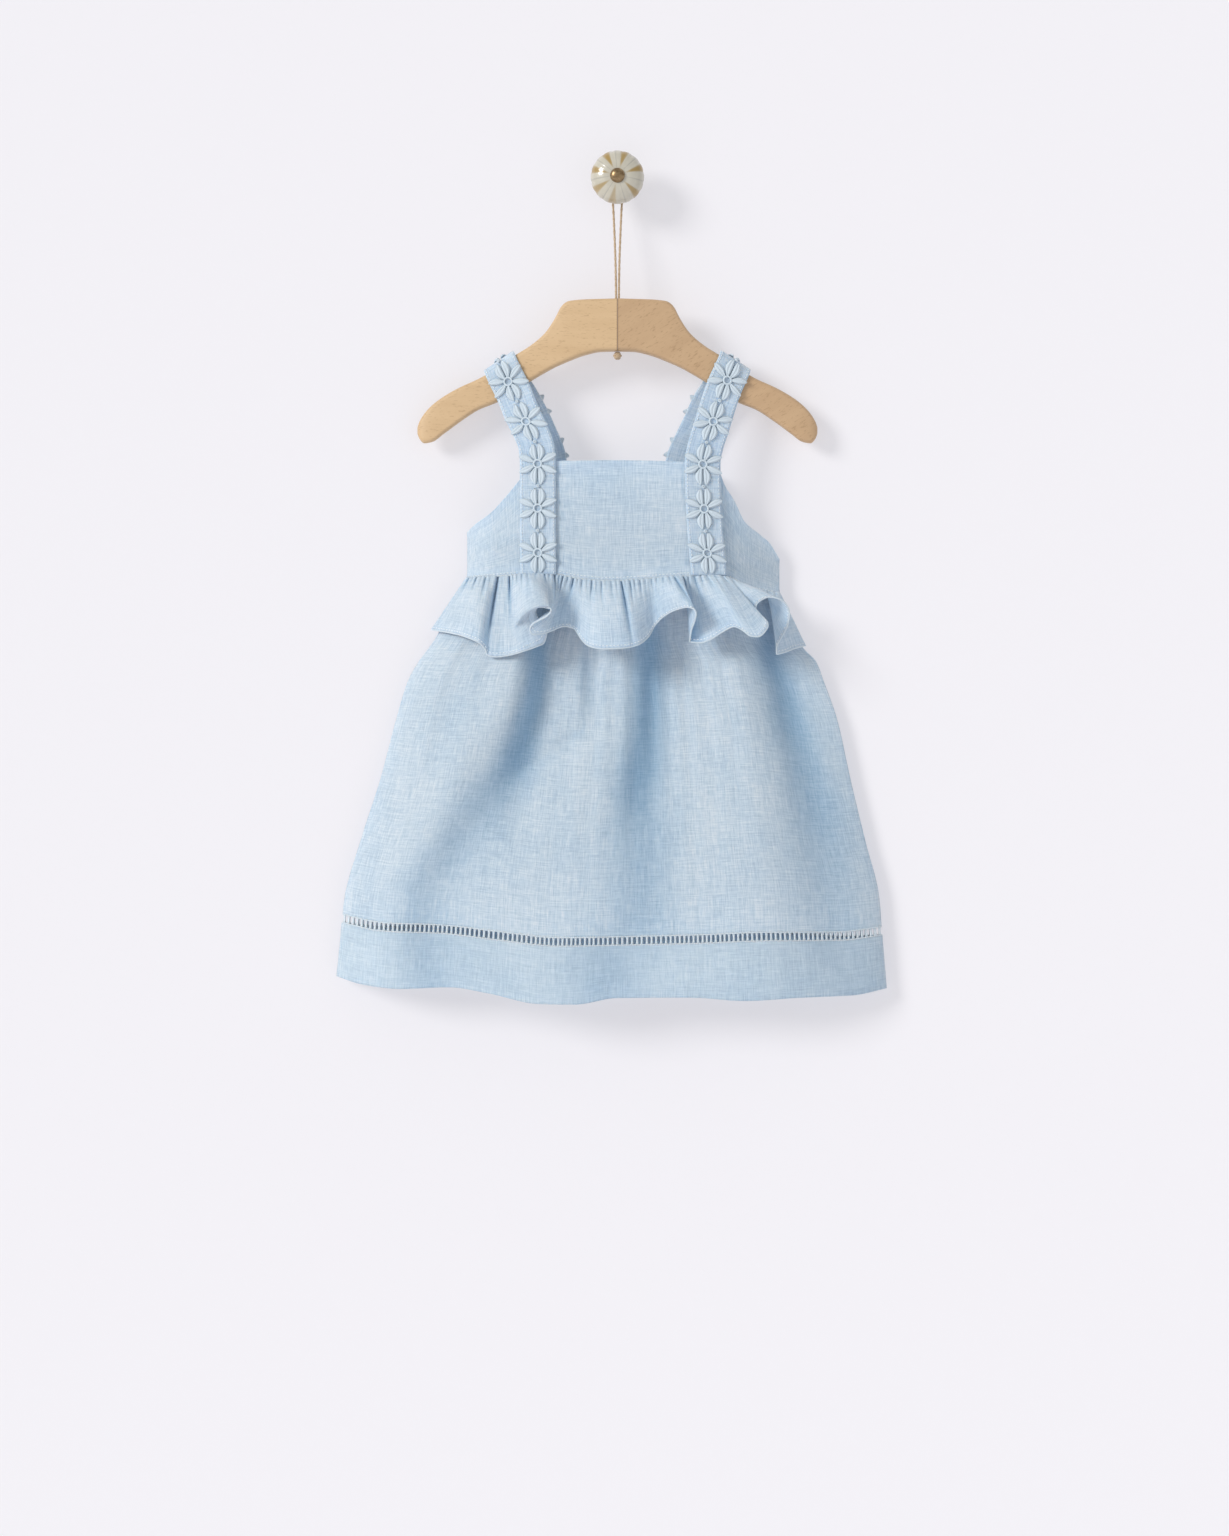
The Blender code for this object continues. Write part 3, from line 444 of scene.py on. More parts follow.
# THE HANGER
# Two beech arms, mitred and glued on the middle line, with a hole down through the joint for the twine.
# Both are cut from board, so the front is flat and the edges are rounded over and oiled.
HANGER_LEAN = 6.0
HANGER_OUT = 30.0
HANGER_ROUND = 3.4
ARM_LENGTH = 150.0
JOINT_GAP = 0.04
GLUE_WIDE = 0.5
HOLE_RADIUS = 2.4
CORNER_STEPS = 10
HANGER_ARM = table(
    "across top bottom thick",
    (0, -90.8, -129.8, 14), (12, -91, -130, 14), (24, -91.2, -132.4, 13.8), (36, -92.2, -136.7, 13.5),
    (41.5, -95.6, -139, 13.3), (46.5, -104.8, -141.2, 13), (54, -115.8, -145.2, 12.5),
    (65, -125.2, -151.6, 12), (76, -132, -158.4, 11.5), (90, -141.6, -167, 11),
    (104, -149.6, -172.6, 10.6), (118, -155.8, -181.5, 10.2), (130, -162.4, -190.2, 9.8),
    (139, -169, -196.4, 9.2), (145, -175.4, -197.4, 8), (148.6, -181.2, -194, 5.6),
    (150, -185.2, -190.4, 3),
)


def hanger_spots(side):
    """Rounded sections from the mitre to the tip: ten points round each corner."""
    stations = 1 - (1 - np.linspace(0, 1, 90)) ** 1.25
    places = np.insert(JOINT_GAP + stations * (ARM_LENGTH - JOINT_GAP), 1, (0.35, 0.7))
    spots = np.empty((len(places), 4 * CORNER_STEPS + 1, 3))
    for i, across in enumerate(places):
        top, bottom, thick = [float(read(HANGER_ARM, "across", across, c)) for c in list(HANGER_ARM)[1:]]
        half_thick, half_tall = thick / 2, (top - bottom) / 2
        rounding = min(HANGER_ROUND, 0.85 * half_thick, 0.85 * half_tall)
        out = HANGER_OUT - across * math.tan(math.radians(HANGER_LEAN))
        for k in range(4 * CORNER_STEPS + 1):
            quarter, step = divmod(k % (4 * CORNER_STEPS), CORNER_STEPS)
            angle = math.radians(90 * quarter + 90 * step / (CORNER_STEPS - 1))
            middle = math.radians(90 * quarter + 45)
            corner_out = out + math.copysign(half_thick - rounding, math.cos(middle))
            corner_height = (top + bottom) / 2 + math.copysign(half_tall - rounding, math.sin(middle))
            corner_out += rounding * math.cos(angle)
            spots[i, k] = (side * across, corner_out, corner_height + rounding * math.sin(angle))
    return spots


def add_mapping(tree, place, **changes):
    return add_node(tree, "Mapping", {"Vector": place, **changes}).outputs["Vector"]


def beech_finish(name, tone, dark, fleck_turn, fleck_strength):
    """Oiled beech: faint long grain, and the short dark flecks that the rays leave."""
    finish, tree, shader = finish_named(name, tone, 0.48)
    turned = add_mapping(tree, on_object(tree), Rotation=(0, math.radians(fleck_turn), 0))
    grain = add_noise(tree, add_mapping(tree, turned, Scale=(14, 60, 130)), 1.0, 5)
    fleck = add_noise(tree, add_mapping(tree, turned, Scale=(260, 420, 1250)), 1.0, 1)
    fleck_only = add_ramp(tree, fleck, (0.60, (0, 0, 0)), (0.72, (fleck_strength,) * 3))
    flecked = add_mix(tree, fleck_only, add_mix(tree, grain, tone, dark), (0.40, 0.25, 0.13))
    glued = add_mix(tree, marked(tree, "glue_line"), flecked, (0.23, 0.13, 0.06))
    feed(tree, shader, {"Base Color": glued})
    add_relief(tree, shader, grain, 0.25, 0.0002)
    return finish


# The right arm's beech is darker than the left's. That darker tone is painted shade for the arm turned away
# from the light; the grain and flecks are the board's own.
beech_left = beech_finish("beech_left_board", (0.70, 0.50, 0.29), (0.575, 0.39, 0.21), -2, 0.5)
shaded_beech_right = beech_finish("beech_right_board_painted_shade", (0.64, 0.44, 0.255), (0.52, 0.34, 0.19), 32, 0.7)

hole_drill = bmesh.new()
bmesh.ops.create_cone(
    hole_drill, cap_ends=True, segments=32, radius1=HOLE_RADIUS * MM, radius2=HOLE_RADIUS * MM, depth=60 * MM,
)
bmesh.ops.translate(hole_drill, vec=point(0, HANGER_OUT, -110), verts=hole_drill.verts)
drill_mesh = bpy.data.meshes.new("twine_hole_drill")
hole_drill.to_mesh(drill_mesh)
hole_drill.free()
drill = placed("twine_hole_drill", drill_mesh)

for side_name, side, board in (("left", -1, beech_left), ("right", 1, shaded_beech_right)):
    arm_shape = shaped_grid(hanger_spots(side), True, True)
    glue_layer = arm_shape.verts.layers.float.new("glue_line")
    for vert in arm_shape.verts:
        vert[glue_layer] = 0.85 * float(abs(vert.co.x) < GLUE_WIDE * MM)
    arm = piece("hanger_arm_" + side_name, arm_shape, board)
    drilled = arm.modifiers.new("Twine hole", "BOOLEAN")
    drilled.operation = "DIFFERENCE"
    drilled.object = drill
    arm.data.set_sharp_from_angle(angle=math.radians(50))
    bpy.context.view_layer.update()
    cut_arm = bpy.data.meshes.new_from_object(arm.evaluated_get(bpy.context.evaluated_depsgraph_get()))
    arm.modifiers.clear()
    arm.data = cut_arm
    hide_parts("hanger_" + side_name)
bpy.data.objects.remove(drill, do_unlink=True)


# THE LINEN
# One pale blue plain-weave linen makes the whole dress. Its yarn is uneven, so pale thick threads run
# along it and across it, and the dye lies a little cloudy. The UV map of each panel is in metres of cloth.
LINEN_THICK = 0.55
LINEN_DEEP = (0.385, 0.508, 0.635)
LINEN_MAIN = (0.502, 0.62, 0.742)
LINEN_PALE = (0.66, 0.748, 0.838)
# Painted shade: the tone that the linen is multiplied towards in its folds and creases.
PAINTED_SHADE_TONE = (0.50, 0.66, 0.79)
YARNS_A_METRE = 1400

weave = bpy.data.node_groups.new("linen_weave", "ShaderNodeTree")
weave.interface.new_socket("Cloth", in_out="INPUT", socket_type="NodeSocketVector")
weave.interface.new_socket("Coarseness", in_out="INPUT", socket_type="NodeSocketFloat").default_value = 1.0
weave.interface.new_socket("Threads", in_out="OUTPUT", socket_type="NodeSocketFloat")
weave.interface.new_socket("Relief", in_out="OUTPUT", socket_type="NodeSocketFloat")
weave_in = weave.nodes.new("NodeGroupInput")
weave_out = weave.nodes.new("NodeGroupOutput")


def weave_math(operation, *values):
    """A Math node of the weave, fed by sockets or by plain numbers."""
    return add_node(weave, "Math", dict(enumerate(values)), operation=operation).outputs[0]


def weave_streaks(across_scale, along_scale, seed):
    """Noise drawn out into streaks: scales are per metre of cloth, across and along."""
    scale, start = (across_scale, along_scale, 1), (seed, 2.7 * seed, 0)
    stretched = add_mapping(weave, weave_in.outputs["Cloth"], Scale=scale, Location=start)
    return add_noise(weave, stretched, 1.0, 2.0, 0.6, noise_dimensions="2D")


fine_warp = weave_streaks(1500, 110, 3.1)
fine_weft = weave_streaks(95, 1500, 7.7)
wide_warp = weave_streaks(760, 34, 12.3)
wide_weft = weave_streaks(30, 760, 19.9)
yarns = weave_math("ADD", weave_math("MULTIPLY", fine_warp, 0.30), weave_math("MULTIPLY", fine_weft, 0.26))
slubs = weave_math("ADD", weave_math("MULTIPLY", wide_warp, 0.24), weave_math("MULTIPLY", wide_weft, 0.20))
cloth_parts = add_node(weave, "SeparateXYZ", {0: weave_in.outputs["Cloth"]})
warp_wave, weft_wave = [
    weave_math("SINE", weave_math("MULTIPLY", cloth_parts.outputs[way], 2 * math.pi * YARNS_A_METRE))
    for way in ("X", "Y")
]
over_under = weave_math("MULTIPLY", weave_math("MULTIPLY", warp_wave, weft_wave), 0.12)
bumpy = weave_math("ADD", weave_math("ADD", yarns, slubs), over_under)
feed(weave, weave_out, {
    "Threads": weave_math("ADD", yarns, slubs),
    "Relief": weave_math("MULTIPLY", bumpy, weave_in.outputs["Coarseness"]),
})


def linen_finish(name, deep, main, pale, relief_depth):
    """Linen of one depth of colour, from the weave and a soft cloud of dye, with painted fold shade."""
    finish, tree, shader = finish_named(name, main, 0.86, {
        "Sheen Weight": 0.25, "Sheen Roughness": 0.5, "Subsurface Weight": 0.45,
        "Subsurface Radius": (0.8, 1.0, 1.2), "Subsurface Scale": 0.0022,
    })
    on_cloth = add_node(tree, "UVMap", uv_map="UVMap").outputs["UV"]
    threads = add_node(tree, "Group", {"Cloth": on_cloth}, node_tree=weave)
    tone = add_ramp(tree, threads.outputs["Threads"], (0.37, deep), (0.625, pale), [(0.49, main)])
    cloud = add_noise(tree, add_mapping(tree, on_cloth, Scale=(22, 13, 1)), 1.0, 3, noise_dimensions="2D")
    cloudy = add_mix(tree, 0.16, tone, cloud, "OVERLAY")
    # Painted shade: the colour is multiplied towards the shade tone where the mesh marks folds and creases.
    fold_shaded = add_mix(tree, marked(tree, "painted_shade"), cloudy, PAINTED_SHADE_TONE, "MULTIPLY")
    feed(tree, shader, {"Base Color": fold_shaded})
    add_relief(tree, shader, threads.outputs["Relief"], 0.35, relief_depth * MM)
    return finish


linen = linen_finish("pale_blue_linen", LINEN_DEEP, LINEN_MAIN, LINEN_PALE, 0.35)


def thicken(made, name, thick):
    """Gives a thin shape its thickness, half of it to each side."""
    wall = made.modifiers.new(name, "SOLIDIFY")
    wall.thickness = thick * MM
    wall.offset = 0.0
    return wall


def cloth_piece(name, spots, cut, thick=LINEN_THICK, finish=None, thick_rows=None, painted_shades=None):
    """A panel of linen whose corners lie at the spots, with a UV map in metres of the cut cloth.

    thick_rows, if given, are shares of the thickness from the panel's first row to its last.
    """
    shape = shaped_grid(spots, painted_shades=painted_shades)
    uv = shape.loops.layers.uv["UVMap"]
    for face in shape.faces:
        for corner in face.loops:
            u, v = corner[uv].uv
            corner[uv].uv = (u * cut[0], -v * cut[1])
    for face in shape.faces:
        face.normal_flip()
    made = piece(name, shape, finish or linen)
    wall = thicken(made, "Cloth thickness", thick)
    if thick_rows is not None:
        doubled = made.vertex_groups.new(name="doubled cloth")
        columns, rows = spots.shape[0], spots.shape[1] - 1
        for vert in made.data.vertices:
            down = (vert.index // columns) / rows
            share = float(np.interp(down, np.linspace(0, 1, len(thick_rows)), thick_rows))
            doubled.add([vert.index], share, "REPLACE")
        wall.vertex_group = "doubled cloth"
    return made


def hollow_shade_paint(spots, reach, deep):
    """Painted shade for each spot of a panel: its depth below its neighbours' mean, from 0 to 1."""
    inside = np.minimum(1.0, np.minimum(np.arange(len(spots)), np.arange(len(spots))[::-1]) / (2 * reach))
    steps = np.arange(-3 * reach, 3 * reach + 1)
    bell = np.exp(-((steps / reach) ** 2))
    bell /= bell.sum()
    outs = np.pad(spots[:, :, 1], ((3 * reach, 3 * reach), (0, 0)), mode="edge")
    mean = sum(share * outs[i : i + len(spots)] for i, share in enumerate(bell))
    return np.clip((mean - spots[:, :, 1]) / deep, 0.0, 1.0) * inside[:, None]


def grid_of(place, columns, rows):
    """Spots of a surface: place(share across, share down) for arrays of shares, returned as three arrays."""
    across, down = np.meshgrid(np.linspace(0, 1, columns + 1), np.linspace(0, 1, rows + 1), indexing="ij")
    return np.stack(place(across, down), axis=-1)


# THE BODICE
# A flat front panel with a straight neck edge and curved armholes, and a plain back panel near the wall.
# Neck and armholes are turned in, so their edges are doubled.
WAIST = table(
    "across height",
    (-112.7, -297.6), (-87, -296.5), (-60, -295.7), (-46, -295.8), (-28, -299.1), (-6, -300.7),
    (24, -299.1), (50, -297.2), (73, -296.1), (95, -303.5), (106, -306.8), (121.6, -308.8),
)
FRONT_CROWN = table(
    "across out",
    (-112.7, 10), (-106, 18), (-92, 26.5), (-60, 32), (0, 35), (50, 35), (75, 32), (90, 26), (106, 17.5),
    (121.6, 10),
)
BODICE_TOP = table(
    "across height",
    (-112.7, -264), (-106, -258.2), (-95, -250.7), (-83.7, -238.8), (-72.5, -225.4), (-65, -216.5),
    (-57.7, -212.2), (0, -211.6), (51, -212.8), (68, -214.5), (75.5, -219.5), (80, -230), (87.4, -241.8),
    (95, -256.7), (106, -265.6), (113.5, -271.6), (121.6, -284),
)
BODICE_CREASES = table(
    "across height along_across along_height width depth",
    (-70, -262, 26, 16, 5, 0.8), (-88, -280, 22, -6, 4, 0.7), (84, -262, 16, -20, 5, -1),
    (97, -282, 22, -10, 4, 1), (30, -246, 40, 6, 9, 0.35), (-20, -275, 38, -9, 10, -0.4),
)
BODICE_FRONT_CUT = (0.262, 0.093)
BODICE_BACK_CUT = (0.236, 0.090)
BACK_OUT = 8.4
SEAM_GAP = 0.7
EDGE_OVERLAP = 0.9
EDGE_PUSH = 1.9


def hump(across, height, rows, i):
    """A soft crease: a ridge that dies away along its own line and to both sides."""
    along = Vector((rows["along_across"][i], rows["along_height"][i]))
    length = along.length
    along.normalize()
    from_across, from_height = across - rows["across"][i], height - rows["height"][i]
    run = (from_across * along.x + from_height * along.y) / length
    off = (-from_across * along.y + from_height * along.x) / rows["width"][i]
    return rows["depth"][i] * np.exp(-(run ** 2) * 1.6 - off ** 2)


def waist_span(share):
    return WAIST["across"][0] + share * (WAIST["across"][-1] - WAIST["across"][0])


def bodice_front(share, down):
    across = waist_span(share)
    top = read(BODICE_TOP, "across", across, "height")
    seam = read(WAIST, "across", across, "height") - EDGE_OVERLAP
    height = top + down * (seam - top)
    out = read(FRONT_CROWN, "across", across, "out")
    for i in range(len(BODICE_CREASES["across"])):
        out = out + hump(across, height, BODICE_CREASES, i)
    pushed_out = EDGE_PUSH * np.exp(-(((height - seam) / 5.0) ** 2))
    gather_pull = 0.22 * np.sin(across * 2.1 + 1.3 * np.sin(across * 0.31)) * np.exp(-(height - seam) / 5.0)
    return across, out + pushed_out + gather_pull, height


def bodice_back(share, down):
    across = waist_span(share)
    top = read(BODICE_TOP, "across", across, "height") - 4.0 * np.sin(math.pi * share)
    seam = read(WAIST, "across", across, "height") + SEAM_GAP / 2
    return across, BACK_OUT + 0 * across, top + down * (seam - top)


front_panel = cloth_piece(
    "bodice_front_panel", grid_of(bodice_front, 200, 90), BODICE_FRONT_CUT, thick=1.1,
    thick_rows=(1.0, 0.55, 0.5, 0.5, 0.5, 0.5, 0.6, 1.0),
)
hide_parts("bodice_front")
back_panel = cloth_piece("bodice_back_panel", grid_of(bodice_back, 110, 40), BODICE_BACK_CUT, thick=0.8)
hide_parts("bodice_back")


# THE SKIRT
# Two gathered panels of the same linen hang from the waist seam and swing out to the hem. Their long
# folds start under the ruffle. Each panel ends where the drawn thread ladder begins.
SKIRT_FULLNESS = 46.0
LADDER_HEIGHT = 5.6
BACK_LADDER_RISE = 8.0
SKIRT_SIDES = table(
    "height left right",
    (-297.6, -112.7, 121.6), (-309, -117, 121.7), (-330, -129, 130), (-345, -137.5, 135.5),
    (-353, -143.2, 141.5), (-361, -149.2, 149.2), (-376, -157.4, 155.1), (-405, -166.3, 165.2),
    (-450, -178.2, 175.2), (-495, -192.7, 186), (-539, -205, 196.8), (-569, -207.9, 199),
    (-606, -211.7, 202),
)
LADDER = table(
    "across height",
    (-206, -554), (-176, -559.4), (-132, -561), (-87, -565.8), (-43, -570), (0, -569.4), (61, -568),
    (110, -566.2), (166, -566.6), (199, -563.2),
)
HEM = table(
    "across height",
    (-211.7, -597.4), (-190, -603), (-162, -605.6), (-125, -604.2), (-95, -608.6), (-58, -616),
    (-32, -616.4), (0, -611.6), (54, -611.3), (95, -613.8), (136, -611.8), (175, -611), (202, -606.4),
)
SKIRT_FOLDS = (
    table(
        "height across width depth recover",
        (-300, -62, 3.2, 6, 44), (-364, -62, 4.2, 22, 66), (-383, -63.5, 4.4, 23, 70),
        (-405, -69, 5.2, 23, 74), (-435, -79, 6.8, 20, 78), (-465, -98, 9.5, 13, 84),
        (-502, -128, 9.5, 10, 88), (-539, -147, 9.5, 9, 90), (-606, -146, 10, 8, 90),
    ),
    table(
        "height across width depth recover",
        (-300, -27, 2.4, 2, 22), (-364, -25, 2.7, 8.5, 28), (-385, -25, 3, 7, 30),
        (-405, -27.5, 3.6, 4.5, 30), (-450, -80, 6, 3.4, 34), (-475, -82, 6, 3.2, 34),
        (-510, -74, 8, 0.5, 36), (-606, -60, 9, 0, 36),
    ),
    table(
        "height across width depth recover",
        (-300, 24, 3, 5, 54), (-364, 20, 5.8, 22, 70), (-405, 19, 6.4, 22, 78), (-435, 15.5, 7.2, 21, 84),
        (-465, 11, 7.8, 18, 88), (-502, 10, 11, 12, 90), (-539, 13, 11, 10, 92), (-588, -12, 14, 8, 94),
        (-606, -14, 14, 7, 94),
    ),
    table(
        "height across width depth recover",
        (-300, 104, 3, 4, 26), (-364, 114, 5.2, 19, 40), (-383, 121, 6, 19, 42), (-405, 126, 7.2, 19, 44),
        (-435, 135, 8, 16, 46), (-465, 142, 8.6, 15, 48), (-502, 149, 9.8, 11, 50),
        (-539, 154, 9.8, 9, 52), (-606, 174, 10, 5, 54),
    ),
    table(
        "height across width depth recover",
        (-300, 113, 2.4, 0, 16), (-364, 131, 3.2, 2.5, 18), (-383, 141, 3.2, 3.5, 18),
        (-405, 152, 3.6, 4, 20), (-435, 164, 4.2, 3.5, 20), (-502, 178, 5, 3.5, 22), (-606, 196, 6, 2, 24),
    ),
)
SKIRT_SWELLS = (
    table(
        "height across width depth",
        (-300, -80, 14, 0), (-364, -79, 18, 3.5), (-383, -82, 20, 4.5), (-400, -89, 21, 4.5),
        (-419, -103, 22, 4), (-437, -116, 22, 3.5), (-478, -135, 22, 3), (-523, -158, 24, 3),
        (-606, -186, 24, 3),
    ),
    table(
        "height across width depth",
        (-300, 78, 14, 0), (-364, 90, 20, 3), (-400, 97, 22, 3.8), (-450, 106, 26, 3.8),
        (-606, 112, 40, 3),
    ),
)
SKIRT_FANS = table(
    "count sway sways start fade depth",
    (31, 0.7, 17, 0, 0.16, 0.55), (17, 0.9, 9, 1, 0.34, 0.8),
)


def skirt_side(share, height):
    left = read(SKIRT_SIDES, "height", height, "left")
    right = read(SKIRT_SIDES, "height", height, "right")
    return left + share * (right - left)


def skirt_gathers(share, drop):
    """Small folds that fan out of the gathering thread and soon die away."""
    folds = 0.0
    for count, sway, sways, start, fade, depth in zip(*SKIRT_FANS.values()):
        turn = count * share + sway * np.sin(sways * share + start)
        folds = folds + depth * (np.sin(2 * math.pi * turn) * np.exp(-drop / fade))
    return folds


def skirt_height(share, drop, dip=0.0):
    """Height of a skirt panel between the waist seam and the hem, which may dip lower in the middle."""
    top = read(WAIST, "across", skirt_side(share, SKIRT_SIDES["height"][0]), "height") - SEAM_GAP / 2
    low = read(HEM, "across", skirt_side(share, SKIRT_SIDES["height"][-1]), "height")
    return top + drop * (low - dip * np.sin(math.pi * share) - top)


def skirt_front(share, drop):
    height = skirt_height(share, drop)
    across = skirt_side(share, height)
    crown = (1 - abs(2 * share - 1) ** 2.6) ** 0.8
    near = read(FRONT_CROWN, "across", skirt_side(share, SKIRT_SIDES["height"][0]), "out")
    out = near + (FRONT_CROWN["out"][0] + 0.4 + SKIRT_FULLNESS * crown - near) * drop ** 1.2
    edge = np.minimum(1.0, 8 * np.minimum(share, 1 - share))
    for rows in SKIRT_SWELLS:
        middle, width, depth = [read(rows, "height", height, c) for c in ("across", "width", "depth")]
        out = out + edge * depth * np.exp(-(((across - middle) / width) ** 2))
    for rows in SKIRT_FOLDS:
        middle, width, depth, recover = [
            read(rows, "height", height, c) for c in ("across", "width", "depth", "recover")
        ]
        past = np.maximum(across - middle, 0.0)
        steep = 1 / (1 + np.exp(np.clip((middle - across) / width, -60, 60)))
        out = out - edge * depth * steep * np.exp(-((past / recover) ** 1.4))
    return across, out + edge * skirt_gathers(share, drop), height


def fold_shade_paint(spots):
    """Painted shade for each spot of the front: how deep it lies in one of the long folds, from 0 to 1."""
    across, height = spots[:, :, 0], spots[:, :, 2]
    painted_shade = np.zeros(across.shape)
    for rows in SKIRT_FOLDS:
        middle, width, depth = [read(rows, "height", height, c) for c in ("across", "width", "depth")]
        from_middle = (across - middle - 0.5 * width) / (2.4 * width)
        painted_shade = np.maximum(painted_shade, np.clip(depth / 20.0, 0, 1) ** 1.3 * np.exp(-np.abs(from_middle) ** 2.2))
    return painted_shade


def skirt_back(share, drop):
    height = skirt_height(share, drop, dip=1.6)
    edge = np.sin(math.pi * share)
    fade = drop * drop * (3 - 2 * drop)
    wave = 2.4 * fade * edge * np.sin(2 * math.pi * (4.5 * share + 0.1))
    ripple = 0.35 * edge * np.sin(2 * math.pi * (24 * share + 0.8 * np.sin(11 * share))) * np.exp(-drop / 0.2)
    out = BACK_OUT - 0.3 * drop - 1.4 * edge * fade + 0.8 * wave + ripple
    return skirt_side(share, height), out, height


def ladder_drops(panel, share):
    """Where the ladder's upper and lower edge lie in the skirt's drop. The back one lies a little higher."""
    top, low = panel(share, 0 * share)[2], panel(share, 0 * share + 1)[2]
    across = np.clip(panel(share, 0 * share + 0.86)[0], LADDER["across"][0], LADDER["across"][-1])
    middle = read(LADDER, "across", across, "height")
    if panel is skirt_back:
        middle = middle + BACK_LADDER_RISE * np.sin(math.pi * share)
    return (middle + LADDER_HEIGHT / 2 - top) / (low - top), (middle - LADDER_HEIGHT / 2 - top) / (low - top)


def skirt_above_ladder(panel):
    def place(share, down):
        return panel(share, down * ladder_drops(panel, share)[0])
    return place


SKIRT_CUT = (0.450, 0.270)
for side_name, panel, columns, rows in (("front", skirt_front, 310, 148), ("back", skirt_back, 160, 60)):
    skirt_spots = grid_of(skirt_above_ladder(panel), columns, rows)
    # Painted shade: the front panel's colour is darkened along its long folds.
    skirt = cloth_piece(
        "skirt_%s_panel" % side_name, skirt_spots, SKIRT_CUT,
        painted_shades=fold_shade_paint(skirt_spots) if panel is skirt_front else None,
    )
    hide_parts("skirt_" + side_name)


# THE DRAWN THREAD LADDER
# Weft threads are drawn out above the hem, and the warp threads left are tied into little bars, 4 mm
# apart, by a row of stitches above and a row below.
LADDER_BARS = 118
BAR_WIDE = 2.1
BAR_THIN = 1.35
LADDER_THICK = 0.6
TIE_WIDTH = 1.9
TIE_PITCH = 2.0
TIE_STEPS = 700
TIE_BEYOND = 0.0012
BAR_ROWS = 6
HEM_WIDE = 400

tie_thread = linen_finish(
    "pale_tying_thread", (0.55, 0.66, 0.75), (0.62, 0.72, 0.80), (0.70, 0.79, 0.85), 0.3,
)


def join_into(whole, part):
    """Adds one bmesh's shape to another."""
    carrier = bpy.data.meshes.new("carrier")
    part.to_mesh(carrier)
    part.free()
    whole.from_mesh(carrier)
    bpy.data.meshes.remove(carrier)


def ladder_bar(panel, share):
    """One bar: a narrow strip, wide at both ties and drawn in between them."""
    width_share = 1.0 / HEM_WIDE
    upper, lower = ladder_drops(panel, np.array([share]))
    spots = np.empty((3, BAR_ROWS + 1, 3))
    for column in range(3):
        for row in range(BAR_ROWS + 1):
            down = row / BAR_ROWS
            wide = BAR_THIN + (BAR_WIDE - BAR_THIN) * abs(2 * down - 1) ** 2
            here = share + (column - 1) * wide / 2 * width_share
            drop = upper + down * (lower - upper)
            spots[column, row] = [float(v[0]) for v in panel(np.array([here]), drop)]
    return shaped_grid(spots)


def knotted_line(route, radius, pitch, sides=8):
    """Corners of a thick thread that swells at every stitch."""
    side, up = line_frames(route)
    swell = radius * (0.78 + 0.32 * np.abs(np.sin(math.pi * travelled_along(route) / pitch)))
    return round_spots(route, 0.55 * side, up, swell[:, None], sides)


for side_name, panel in (("front", skirt_front), ("back", skirt_back)):
    ladder_shape = bmesh.new()
    for bar in range(LADDER_BARS):
        share = (bar + 0.5) / LADDER_BARS
        uneven = 0.0022 * math.sin(23.0 * share) + 0.0010 * noise.noise((bar * 0.7, 3.3, 0.2))
        join_into(ladder_shape, ladder_bar(panel, share + uneven * math.sin(math.pi * share)))
    ladder = piece("ladder_%s_bars" % side_name, ladder_shape, tie_thread)
    thicken(ladder, "Thread thickness", LADDER_THICK)
    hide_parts("ladder_" + side_name)
    edge_shares = np.linspace(0.001, 0.999, TIE_STEPS)
    for line_name, which, beyond in (("upper", 0, -TIE_BEYOND), ("lower", 1, TIE_BEYOND)):
        drops = ladder_drops(panel, edge_shares)[which] + beyond
        route = np.stack(panel(edge_shares, drops), 1)
        tie = piece(
            "ladder_%s_%s_tie" % (side_name, line_name),
            shaped_grid(knotted_line(route, TIE_WIDTH / 2, TIE_PITCH), True, True), tie_thread,
        )


# THE HEM
# A deep band turned up double below the ladder, so it looks denser and hangs straighter than the skirt.
HEM_CUT = (0.450, 0.045)
HEM_THICK = 1.1


def hem_band(panel):
    def place(share, down):
        start = ladder_drops(panel, share)[1]
        return panel(share, start + down * (1 - start))
    return place


dense_linen = linen_finish(
    "double_pale_blue_linen", (0.40, 0.51, 0.61), (0.49, 0.60, 0.69), (0.61, 0.70, 0.775), 0.3,
)
for side_name, panel, columns in (("front", skirt_front, 300), ("back", skirt_back, 160)):
    hem_spots = grid_of(hem_band(panel), columns, 24)
    # Painted shade: the front band's colour is darkened along the long folds.
    hem = cloth_piece(
        "hem_%s_band" % side_name, hem_spots, HEM_CUT, thick=HEM_THICK, finish=dense_linen,
        painted_shades=fold_shade_paint(hem_spots) if panel is skirt_front else None,
    )
    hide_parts("hem_" + side_name)


